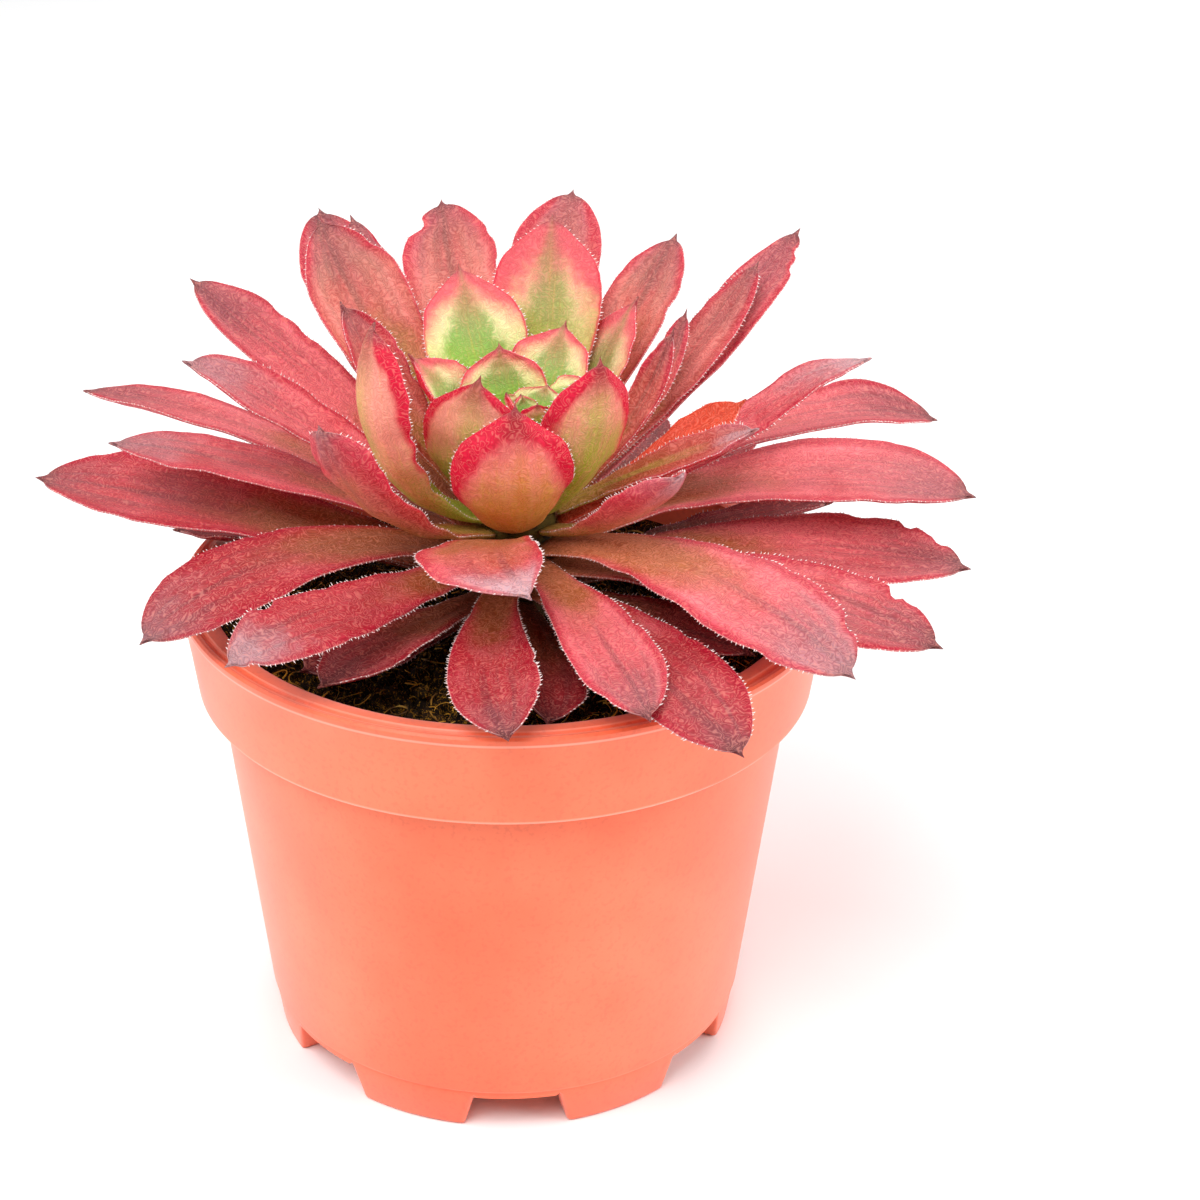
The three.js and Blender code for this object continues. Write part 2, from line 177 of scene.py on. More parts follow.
class Paint:
    """A value in a material. Python's operators on it add the nodes that work it out."""

    def __init__(self, tree, socket=None):
        self.tree = tree
        self.socket = socket

    def add(self, kind, settings=None, sockets=None, result=0):
        """A node of any kind: its settings first, then the values or links of its sockets."""
        node = self.tree.nodes.new(kind)
        for key, value in (settings or {}).items():
            setattr(node, key, value)
        for key, value in (sockets or {}).items():
            socket = node.inputs[key]
            if isinstance(value, Paint):
                self.tree.links.new(value.socket, socket)
            elif socket.type == "RGBA" and len(value) == 3:
                socket.default_value = (*value, 1)
            else:
                socket.default_value = value
        return Paint(self.tree, node.outputs[result])

    def other(self, result):
        """Another output of the node that gives this value."""
        return Paint(self.tree, self.socket.node.outputs[result])

    def channels(self, attribute):
        """The four parts of a colour attribute."""
        whole = self.add("ShaderNodeAttribute", {"attribute_name": attribute}, {}, "Color")
        red = self.add("ShaderNodeSeparateColor", {}, {"Color": whole}, "Red")
        return red, red.other("Green"), red.other("Blue"), whole.other("Alpha")

    def maths(self, operation, *values):
        return self.add("ShaderNodeMath", {"operation": operation}, dict(enumerate(values)))

    def __add__(self, other):
        return self.maths("ADD", self, other)

    __radd__ = __add__

    def __sub__(self, other):
        return self.maths("SUBTRACT", self, other)

    def __rsub__(self, other):
        return self.maths("SUBTRACT", other, self)

    def __mul__(self, other):
        return self.maths("MULTIPLY", self, other)

    __rmul__ = __mul__

    def __pow__(self, other):
        return self.maths("POWER", self, other)

    def __abs__(self):
        return self.maths("ABSOLUTE", self)

    def rise(self, low, high):
        """0 below low, 1 above high and an even curve between them."""
        return self.add(
            "ShaderNodeMapRange",
            {"interpolation_type": "SMOOTHSTEP"},
            {"Value": self, "From Min": low, "From Max": high},
        )

    def band(self, low, high, blur):
        """1 between two values and 0 outside of them, with soft ends."""
        return self.rise(low - blur, low) * (1 - self.rise(high, high + blur))

    def blend(self, share, low, high, way="MIX"):
        """Two colours blended by a share: 6 and 7 are the node's colour inputs and 2 its colour output."""
        return self.add(
            "ShaderNodeMix", {"data_type": "RGBA", "blend_type": way}, {0: share, 6: low, 7: high}, 2
        )

    def between(self, low, high):
        """One of two colours, or a blend of them, by this share."""
        return self.blend(self, low, high)

    def tint(self, share, other):
        """This colour turned into the other one by a share."""
        return self.blend(share, self, other)

    def shade(self, share, other):
        """This colour multiplied by the other one by a share."""
        return self.blend(share, self, other, "MULTIPLY")

    def grain(self, scale, detail=2.0, roughness=0.5, stretch=None, distortion=0.0):
        """Noise from 0 to 1 on these coordinates, stretched along the axes if asked."""
        place = self
        if stretch:
            place = self.add("ShaderNodeMapping", {}, {"Vector": self, "Scale": stretch})
        sockets = {"Scale": scale, "Detail": detail, "Roughness": roughness, "Distortion": distortion}
        return self.add("ShaderNodeTexNoise", {}, {"Vector": place, **sockets})


def material(name, **constants):
    """A new material with its Principled shader's constant sockets set."""
    made = bpy.data.materials.new(name)
    made.use_nodes = True
    shader = made.node_tree.nodes["Principled BSDF"]
    for key, value in constants.items():
        shader.inputs[key.replace("_", " ")].default_value = value
    paint = Paint(made.node_tree)
    place = paint.add("ShaderNodeTexCoord", {}, {}, "Object")
    return made, shader, paint, place


def cover(shader, **layers):
    """Links varying layers to a Principled shader: Base_Color, Roughness or Normal."""
    for key, layer in layers.items():
        layer.tree.links.new(layer.socket, shader.inputs[key.replace("_", " ")])


def relief(paint, height, distance, strength=1.0):
    """A bump for the Normal socket: height from 0 to 1, over a depth of distance."""
    return paint.add("ShaderNodeBump", {}, {"Height": height, "Distance": distance, "Strength": strength})


# ---------------- pieces


def mesh_of(bm, name):
    """Turns a bmesh into a mesh and frees it."""
    mesh = bpy.data.meshes.new(name)
    bm.to_mesh(mesh)
    bm.free()
    return mesh


def linked(name, data):
    """A new object of the scene, at the origin."""
    made = bpy.data.objects.new(name, data)
    bpy.context.scene.collection.objects.link(made)
    return made


def corners_of(geometry):
    """The vertices among what a bmesh operator returns."""
    return [part for part in geometry if isinstance(part, bmesh.types.BMVert)]


def piece(bm, name, node, materials, sharp):
    """Makes a finished piece of a bmesh: smooth faces, sharp edges kept, riding on the object's one body."""
    for face in bm.faces:
        face.smooth = True
    for edge in bm.edges:
        if len(edge.link_faces) == 2 and edge.calc_face_angle(0) > radians(sharp):
            edge.smooth = False
    made = linked(name, mesh_of(bm, name))
    for each in materials:
        made.data.materials.append(each)
    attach(made, "root")
    if node:
        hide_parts(node)
    return made


def spun(bm, profile, steps):
    """Spins an outline of (radius, height) points, closed on itself, once round Z."""
    corners = [bm.verts.new((radius, 0, height)) for radius, height in profile]
    edges = [bm.edges.new((a, b)) for a, b in zip(corners, corners[1:] + corners[:1])]
    bmesh.ops.spin(
        bm, geom=corners + edges, cent=(0, 0, 0), axis=(0, 0, 1), dvec=(0, 0, 0), angle=TURN,
        steps=steps, use_merge=True,
    )
    bmesh.ops.remove_doubles(bm, verts=bm.verts, dist=1e-7)
    bmesh.ops.recalc_face_normals(bm, faces=bm.faces)


def repeated(bm, count):
    """Repeats a bmesh's small shape, and gives each vertex, its copy's number and its place in the shape."""
    made = 1
    while made < count:
        copies = bmesh.ops.duplicate(bm, geom=bm.verts[:] + bm.edges[:] + bm.faces[:])["geom"]
        bmesh.ops.translate(bm, verts=corners_of(copies), vec=(made, 0, 0))
        made *= 2
    spare = [v for v in bm.verts if v.co.x > count - 0.5]
    bmesh.ops.delete(bm, geom=spare, context="VERTS")
    for vert in bm.verts:
        index = int(vert.co.x + 0.5)
        yield vert, index, vert.co - Vector((index, 0, 0))


# ---------------- pot

STEPS_PER_PITCH = 36
STEPS_PER_FOOT = 22
FOOT_TURN = radians(-61.5)  # heading of the first foot
FOOT_TAPER = 0.16  # share of a foot's width lost at the ground
FOOT_LEAN = 1.1 * MM  # how far a foot's sole lies inside its top
FOOT_INSET = 0.3 * MM  # how far the feet stand back from the wall
FOOT_ROUND = 0.7 * MM
FOOT_CORNER = radians(50)  # edges of a sole sharper than this are rounded
STEP_HEIGHT = 1.7 * MM  # the fine step round the foot of the wall, above the floor's underside
RIM_THICK = 1.8 * MM
BEAD_EDGE = 0.5 * MM  # rounding and groove depth of the rim
LIP_EDGE = 0.05 * MM  # how far the flat top lies under the bead's crest
LEVEL = 1e-6  # heights closer than this are the same


def pot_profile(pot):
    """The pot's wall cut through, from the middle drain hole out, up the wall, over the rim and back."""
    lean = (pot.top_radius - pot.foot_radius) / (pot.height - pot.collar_height - pot.base)

    def inside(z):
        return pot.foot_radius - pot.wall + lean * (z - pot.base)

    top, rim = pot.height, pot.rim_radius
    collar_foot = top - pot.collar_height
    under_rim = top - RIM_THICK
    foot_out = pot.foot_radius - FOOT_INSET
    thirds = (mix(pot.base, under_rim, share) for share in (0.33, 0.66))
    return [
        (pot.drain_radius, pot.base),
        (foot_out - pot.foot_depth, pot.base),
        (foot_out, pot.base),
        (pot.foot_radius - 0.2 * MM, pot.base + 1.5 * MM),
        *((inside(z) + pot.wall, z) for z in (pot.base + STEP_HEIGHT, *thirds, under_rim)),
        (rim - pot.skirt_wall - 0.1 * MM, under_rim),
        (pot.collar_foot_radius - pot.skirt_wall, collar_foot),
        (pot.collar_foot_radius - 0.25 * MM, collar_foot),
        (pot.collar_foot_radius, collar_foot + 0.3 * MM),
        (mix(pot.collar_foot_radius, rim, 0.5) - 0.1 * MM, mix(collar_foot, top, 0.5)),
        (rim - 0.2 * MM, top - 1.7 * MM),
        (rim, top - 1.1 * MM),
        (rim - 0.05 * MM, top - 0.4 * MM),
        (rim - BEAD_EDGE, top),
        (rim - 1.2 * MM, top - LIP_EDGE),
        (rim - 1.6 * MM, top - BEAD_EDGE),
        (rim - 2.2 * MM, top - BEAD_EDGE),
        (rim - 2.7 * MM, top - LIP_EDGE),
        (rim - pot.rim_width + BEAD_EDGE, top - LIP_EDGE),
        *((inside(z), z) for z in (top - 0.7 * MM, mix(pot.base, top, 0.5), pot.base + pot.floor)),
        (pot.drain_radius, pot.base + pot.floor),
    ]


def grow_feet(bm, pot):
    """Draws the feet down out of the ring under the wall."""
    pitch = TURN / pot.feet
    half = pitch * STEPS_PER_FOOT / STEPS_PER_PITCH / 2
    inner = pot.foot_radius - FOOT_INSET - pot.foot_depth

    def round_the_pot(place):
        heading = atan2(place.y, place.x)
        turn = (heading - FOOT_TURN + pitch / 2) % pitch - pitch / 2
        return hypot(place.x, place.y), heading, turn

    soles = []
    for face in bm.faces:
        middle = face.calc_center_median()
        radius, _, turn = round_the_pot(middle)
        if abs(middle.z - pot.base) < LEVEL and radius > inner and abs(turn) < half:
            soles.append(face)
    for vert in corners_of(bmesh.ops.extrude_face_region(bm, geom=soles)["geom"]):
        radius, heading, turn = round_the_pot(vert.co)
        radius -= FOOT_LEAN
        heading -= turn * FOOT_TAPER
        vert.co = (radius * cos(heading), radius * sin(heading), 0)
    bmesh.ops.delete(bm, geom=soles, context="FACES")


def drain_cutter(pot):
    """One piece of short rods that stand where the drain holes are."""
    bm = bmesh.new()
    for i in range(pot.drain_holes):
        heading = TURN * i / pot.drain_holes
        place = Matrix.Translation(
            (pot.drain_ring * cos(heading), pot.drain_ring * sin(heading), pot.base + pot.floor / 2)
        )
        bmesh.ops.create_cone(
            bm, cap_ends=True, segments=32, radius1=pot.drain_radius, radius2=pot.drain_radius,
            depth=pot.floor * 3, matrix=place,
        )
    return linked("drain_cutter", mesh_of(bm, "drain_cutter"))


def apply_modifiers(made):
    """Turns a piece's modifiers into its mesh."""
    bpy.context.view_layer.update()
    seen = made.evaluated_get(bpy.context.evaluated_depsgraph_get())
    mesh = bpy.data.meshes.new_from_object(seen)
    made.modifiers.clear()
    made.data = mesh


WALL_LEAN = 0.107  # how fast the wall widens with its height
OUTSIDE = (44.6 * MM, 44.9 * MM)  # radii within the wall, drawn down its lean to the ground
PLASTIC_LIGHT = srgb(255, 120, 74)
PLASTIC_SPECK = srgb(214, 170, 150)
# painted highlight along the moulded edges
PAINTED_EDGE_HIGHLIGHT = srgb(255, 190, 168)


def plastic(pot):
    """Satin moulded plastic: faint clouds, flow marks, painted shade inside the wall, painted highlights
    along the moulded edges, a fine skin.
    """
    made, shader, paint, place = material(
        "pot_plastic", Subsurface_Weight=0.1, Subsurface_Scale=0.004, Subsurface_Radius=(1.0, 0.35, 0.2),
        Sheen_Weight=0.25, Sheen_Roughness=0.6,
    )
    cloud = place.grain(24, 4, 0.6)
    flow = place.grain(70, 3, stretch=(1, 1, 0.1))
    speck = place.grain(1100, 2)
    split = place.add("ShaderNodeSeparateXYZ", {}, {"Vector": place}, "X")
    height, y = split.other("Z"), split.other("Y")
    reach = (split * split + y * y) ** 0.5
    outside = (reach - height * WALL_LEAN).rise(*OUTSIDE)
    inward, down = pot.rim_radius - reach, pot.height - height
    collar_foot, step_foot = pot.height - pot.collar_height, pot.base + 1.6 * MM
    # thin bands for the painted highlights: the collar's foot, the fine step, the bead and the rim's two
    # grooves
    edge = height.band(collar_foot + 0.1 * MM, collar_foot + 0.4 * MM, 0.3 * MM)
    step = height.band(step_foot, step_foot + 0.05 * MM, 0.35 * MM)
    lip = 1 - down.rise(1.7 * MM, 2.1 * MM)
    bead = down.band(1.4 * MM, 1.7 * MM, 0.2 * MM) * (1 - inward.rise(0.3 * MM, 0.6 * MM))
    groove = inward.band(1.1 * MM, 1.25 * MM, 0.15 * MM) + inward.band(2.6 * MM, 2.75 * MM, 0.15 * MM)
    skin = cloud.rise(0.3, 0.75).between(pot.plastic, PLASTIC_LIGHT)
    skin = skin.tint(flow.rise(0.5, 0.8) * 0.12, pot.plastic_deep_and_shade)
    # darker towards the ground
    skin = skin.tint((1 - height.rise(0.003, 0.016)) * 0.2, pot.plastic_deep_and_shade)
    # deeper red over the rim's top
    skin = skin.tint(lip * outside * 0.3, pot.plastic_deep_and_shade)
    # painted shade on the inside wall above the soil
    skin = skin.tint((1 - outside) * height.rise(0.05, 0.09) * 0.6, pot.plastic_deep_and_shade)
    skin = skin.shade(speck.rise(0.5, 0.7) * 0.24, PLASTIC_SPECK)
    # painted highlights along those edges, broken by the clouds at the collar's foot and the step
    line = (edge + step * 0.6) * cloud.rise(0.3, 0.5) + bead * 1.1 + groove * lip * 0.6
    skin = skin.tint(line * outside * 0.4, PAINTED_EDGE_HIGHLIGHT)
    cover(
        shader,
        Base_Color=skin,
        Roughness=0.36 + cloud * 0.14,
        Normal=relief(paint, speck * 0.5 + flow, 0.05 * MM, 0.5),
    )
    return made


class AEONIUM_OT_pot(bpy.types.Operator):
    """Builds the nursery pot with its collar, feet and drain holes"""

    bl_idname = "aeonium.pot"
    bl_label = "Pot"

    def execute(self, context):
        pot = context.scene.aeonium.pot
        bm = bmesh.new()
        spun(bm, pot_profile(pot), STEPS_PER_PITCH * pot.feet)
        phase = FOOT_TURN + TURN / pot.feet * STEPS_PER_FOOT / STEPS_PER_PITCH / 2
        bmesh.ops.rotate(bm, verts=bm.verts, matrix=Matrix.Rotation(phase, 3, "Z"))
        grow_feet(bm, pot)
        corners = [
            edge for edge in bm.edges
            if min(vert.co.z for vert in edge.verts) < LEVEL and edge.calc_face_angle(0) > FOOT_CORNER
        ]
        bmesh.ops.bevel(
            bm, geom=corners, offset=FOOT_ROUND, segments=3, affect="EDGES", profile=0.5, material=-1,
            clamp_overlap=True,
        )
        made = piece(bm, "nursery_pot", "pot", [plastic(pot)], sharp=30)
        cutter = drain_cutter(pot)
        cut = made.modifiers.new("drains", "BOOLEAN")
        cut.object = cutter
        cut.operation = "DIFFERENCE"
        cut.solver = "EXACT"
        apply_modifiers(made)
        bpy.data.objects.remove(cutter)
        return {"FINISHED"}


# ---------------- soil

SOIL_FACES = 150
SOIL_LEAN = 0.108  # how fast the soil narrows towards the pot's floor
CRUMB_RELIEF = 2.4 * MM  # depth of the crumbs that are part of the surface
CRUMB_SIZE = (0.9 * MM, 1.9 * MM)
BIG_CRUMBS = 0.12  # share of the loose crumbs that are twice as big
FIBRE_TILT = (-0.7, 0.7)  # how far a fibre leans over, in radians
FIBRE_BEND = (0.6 * MM, 3.2 * MM)  # radius of its curl
FIBRE_SWEEP = (0.7, 4.4)  # how far it curls, in radians
FIBRE_THICK = (0.35 * MM, 0.9 * MM)
FIBRE_RISE = (-0.2 * MM, 0.2 * MM)  # rise along its curl, for each radian
FIBRE_LENGTH = 0.8  # of the plain fibre, before it is bent
FIBRE_CUTS = 8  # bends of a fibre
SOIL_SEED = 11
PEAT_LIGHT = srgb(46, 28, 10)
PEAT_GRAIN = srgb(132, 92, 36)
FIBRE_DARK = srgb(96, 60, 16)
FIBRE_LIGHT = srgb(222, 176, 76)


def soil_level(soil, x, y, radius):
    """Height of the surface: broad lumps, then crumbs that fade at the wall."""
    wide = sin(210 * x + 0.6) * cos(170 * y - 1.1)
    fine = sin(470 * x - 390 * y) * sin(430 * y + 310 * x + 2)
    spot = Vector((x, y, 0)) / MM
    crumb = noise.turbulence(spot * 0.45, 4, False, noise_basis="BLENDER")
    fade = 1 - (hypot(x, y) / radius) ** 8
    return soil.top + (soil.swell * (0.6 * wide + 0.55 * fine) + (crumb - 0.45) * CRUMB_RELIEF) * fade


def random_place(draw, soil, radius, share):
    """A place on the surface, within a share of its radius."""
    reach, heading = radius * share * sqrt(draw.random()), draw.uniform(0, TURN)
    x, y = reach * cos(heading), reach * sin(heading)
    return Vector((x, y, soil_level(soil, x, y, radius)))


def peat(soil):
    """Dark peat with lighter grains and bits of golden fibre."""
    made, shader, paint, place = material("peat", Specular_IOR_Level=0.15)
    lump = place.grain(260, 5, 0.65)
    grain = place.grain(1500, 3, 0.6)
    strand = abs(place.grain(520, 2, 0.6, distortion=1.8) - 0.5)
    skin = lump.rise(0.48, 0.7).between(soil.peat, PEAT_LIGHT)
    skin = skin.tint((1 - strand.rise(0.0, 0.035)) * grain.rise(0.36, 0.6) * 0.7, soil.fibre)
    skin = skin.tint(grain.rise(0.62, 0.7) * lump.rise(0.4, 0.6) * 0.7, PEAT_GRAIN)
    cover(
        shader,
        Base_Color=skin,
        Roughness=0.75 + lump * 0.2,
        Normal=relief(paint, lump + grain * 0.5, 0.8 * MM),
    )
    return made


def fibre_bark(soil):
    """Golden brown plant fibre."""
    made, shader, paint, place = material("soil_fibre")
    change = place.grain(150)
    skin = change.rise(0.4, 0.6).between(soil.fibre, FIBRE_DARK)
    skin = skin.tint(change.rise(0.6, 0.66) * 0.6, FIBRE_LIGHT)
    bump = relief(paint, place.grain(3000), 0.05 * MM)
    cover(shader, Base_Color=skin, Roughness=0.5 + change * 0.3, Normal=bump)
    return made


class AEONIUM_OT_soil(bpy.types.Operator):
    """Fills the pot with peat, crumbs and curled fibres"""

    bl_idname = "aeonium.soil"
    bl_label = "Soil"

    def execute(self, context):
        soil = context.scene.aeonium.soil
        radius = SOIL_HIGH.x
        earth = peat(soil)
        self.fill(soil, radius, earth)
        draw = Random(SOIL_SEED)
        self.crumbs(soil, radius, earth, draw)
        self.fibres(soil, radius, draw)
        return {"FINISHED"}

    def fill(self, soil, radius, earth):
        """The body of the mix: a square grid drawn out to a round one, and its copy at the floor."""
        shrink = (radius - (SOIL_HIGH.z - SOIL_LOW.z) * SOIL_LEAN) / radius
        bm = bmesh.new()
        bmesh.ops.create_grid(bm, x_segments=SOIL_FACES, y_segments=SOIL_FACES, size=1)
        for vert in bm.verts:
            x, y = vert.co.x, vert.co.y
            x, y = radius * x * sqrt(1 - y * y / 2), radius * y * sqrt(1 - x * x / 2)
            vert.co = (x, y, soil_level(soil, x, y, radius))
        lower = bmesh.ops.extrude_face_region(bm, geom=bm.faces[:], use_keep_orig=True)["geom"]
        for vert in corners_of(lower):
            vert.co = (vert.co.x * shrink, vert.co.y * shrink, SOIL_LOW.z)
        bmesh.ops.recalc_face_normals(bm, faces=bm.faces)
        piece(bm, "potting_mix", "soil", [earth], sharp=80)

    def crumbs(self, soil, radius, earth, draw):
        """Loose crumbs, each a dented ball of its own size and turn."""
        bm = bmesh.new()
        bmesh.ops.create_icosphere(bm, subdivisions=1, radius=0.4)
        places = []
        for _ in range(soil.crumbs):
            spot = random_place(draw, soil, radius, 0.97)
            size = draw.uniform(*CRUMB_SIZE) * (2 if draw.random() < BIG_CRUMBS else 1)
            squash = Matrix.Diagonal((size * draw.uniform(0.7, 1.5), size, size * draw.uniform(0.5, 1), 1))
            turn = Euler([draw.uniform(0, TURN) for _ in range(3)]).to_matrix().to_4x4()
            places.append(Matrix.Translation(spot + Vector((0, 0, size * 0.12))) @ turn @ squash)
        for vert, index, local in repeated(bm, soil.crumbs):
            lump = noise.noise(local * 4 + Vector((index, 0, 0)))
            vert.co = places[index] @ (local * (1 + 0.5 * lump))
        piece(bm, "soil_crumbs", None, [earth], sharp=180)

    def fibres(self, soil, radius, draw):
        """Curled fibres: a thin rod bent to an arc, with a little rise along it."""
        bm = bmesh.new()
        bmesh.ops.create_cone(bm, cap_ends=True, segments=3, radius1=0.2, radius2=0.2, depth=FIBRE_LENGTH)
        sides = [edge for edge in bm.edges if abs(edge.verts[0].co.z - edge.verts[1].co.z) > 0.5]
        bmesh.ops.subdivide_edges(bm, edges=sides, cuts=FIBRE_CUTS)
        strands = []
        for _ in range(soil.fibres):
            middle = random_place(draw, soil, radius, 0.94) + Vector((0, 0, 0.6 * MM))
            tilt = Euler([draw.uniform(*each) for each in (FIBRE_TILT, FIBRE_TILT, (0, TURN))]).to_matrix()
            ranges = (FIBRE_BEND, FIBRE_SWEEP, FIBRE_THICK, FIBRE_RISE)
            strands.append((middle, tilt, *(draw.uniform(*each) for each in ranges)))
        for vert, index, local in repeated(bm, soil.fibres):
            middle, tilt, bend, sweep, thick, lift = strands[index]
            turn = sweep * local.z / FIBRE_LENGTH
            radial = bend + local.x * thick
            vert.co = middle + tilt @ Vector((
                radial * cos(turn) - bend, radial * sin(turn), local.y * thick + lift * turn,
            ))
        bmesh.ops.recalc_face_normals(bm, faces=bm.faces)
        piece(bm, "soil_fibres", None, [fibre_bark(soil)], sharp=180)


# ---------------- stem

STEM_FOOT = 62 * MM
STEM_SHOULDER = 104 * MM
STEM_TOP = 120 * MM
STEM_RADIUS = 7 * MM
STEM_TIP_RADIUS = 3.2 * MM
STEM_LEAN = 0.11  # how far the stem leans to +X with its height
STEM_LEAN_FROM = 81 * MM
STEM_RINGS = 60
STEM_SIDES = 48
STEM_NARROWING = (8 * MM, 1.5 * MM)  # height and depth of the narrower foot
SCAR_DEPTH = 0.35 * MM  # depth of the rings that old leaves left
BARK_ROUGH = 0.25 * MM
BARK_BROWN = srgb(104, 78, 46)
BARK_DARK = srgb(74, 50, 30)
BARK_GREEN_SHADED = srgb(88, 74, 24)
BARK_CRACK = srgb(40, 26, 16)


def stem_radius(z):
    """The stem's even radius at a height."""
    share = max(z - STEM_SHOULDER, 0) / (STEM_TOP - STEM_SHOULDER)
    return mix(STEM_RADIUS, STEM_TIP_RADIUS, share)


def stem_centre(z):
    """How far the leaning stem's middle is from the pot's axis at a height."""
    return STEM_LEAN * (z - STEM_LEAN_FROM)


def bark():
    """Grey-brown bark with fine cracks, and greener skin near the top, darkened there as painted shade under
    the leaves.
    """
    made, shader, paint, place = material("stem_bark", Specular_IOR_Level=0.15)
    crack = place.grain(320, 5, 0.6, stretch=(1, 1, 2.4))
    cloud = place.grain(120, 3)
    height = place.add("ShaderNodeSeparateXYZ", {}, {"Vector": place}, "Z")
    skin = cloud.rise(0.4, 0.65).between(BARK_BROWN, BARK_DARK)
    # greener skin near the top, darkened as painted shade under the leaves
    skin = skin.tint(height.rise(0.094, 0.106) * 0.8, BARK_GREEN_SHADED)
    skin = skin.tint(1 - crack.rise(0.34, 0.5), BARK_CRACK)
    cover(shader, Base_Color=skin, Roughness=0.6 + cloud * 0.3, Normal=relief(paint, crack, 0.5 * MM))
    return made


class AEONIUM_OT_stem(bpy.types.Operator):
    """Builds the short woody stem with its leaf scars"""

    bl_idname = "aeonium.stem"
    bl_label = "Stem"

    def execute(self, context):
        bm = bmesh.new()
        rise, depth = STEM_NARROWING
        profile = [(0, STEM_FOOT)]
        for i in range(STEM_RINGS + 1):
            z = mix(STEM_FOOT, STEM_TOP, i / STEM_RINGS)
            taper = smooth((z - STEM_FOOT) / rise) * depth - depth
            scar = -SCAR_DEPTH * max(sin(z / MM * 1.9), 0) ** 6
            profile.append((stem_radius(z) + taper + scar, z))
        profile.append((0, STEM_TOP))
        spun(bm, profile, STEM_SIDES)
        for vert in bm.verts:
            rough = noise.noise(vert.co / MM * 0.5) * BARK_ROUGH
            out = Vector((vert.co.x, vert.co.y, 0)).normalized()
            vert.co += out * rough
            vert.co.x += stem_centre(vert.co.z)
        piece(bm, "woody_stem", "stem", [bark()], sharp=60)
        return {"FINISHED"}


# ---------------- leaves

# How a leaf looks, each from 0 to 1.
LOOKS = (
    "shade",  # painted shade, with the old leaves' deeper maroon
    "bronze",  # reach of the bronze base
    "bleach_and_sheen",  # paleness of the tip: greyed skin with painted sheen
    "young",  # youth of the upper face
    "young_back",  # youth of the back
    "band",  # width of the red margin
    "warm",  # warmth of a young back, and rust on an old leaf
)

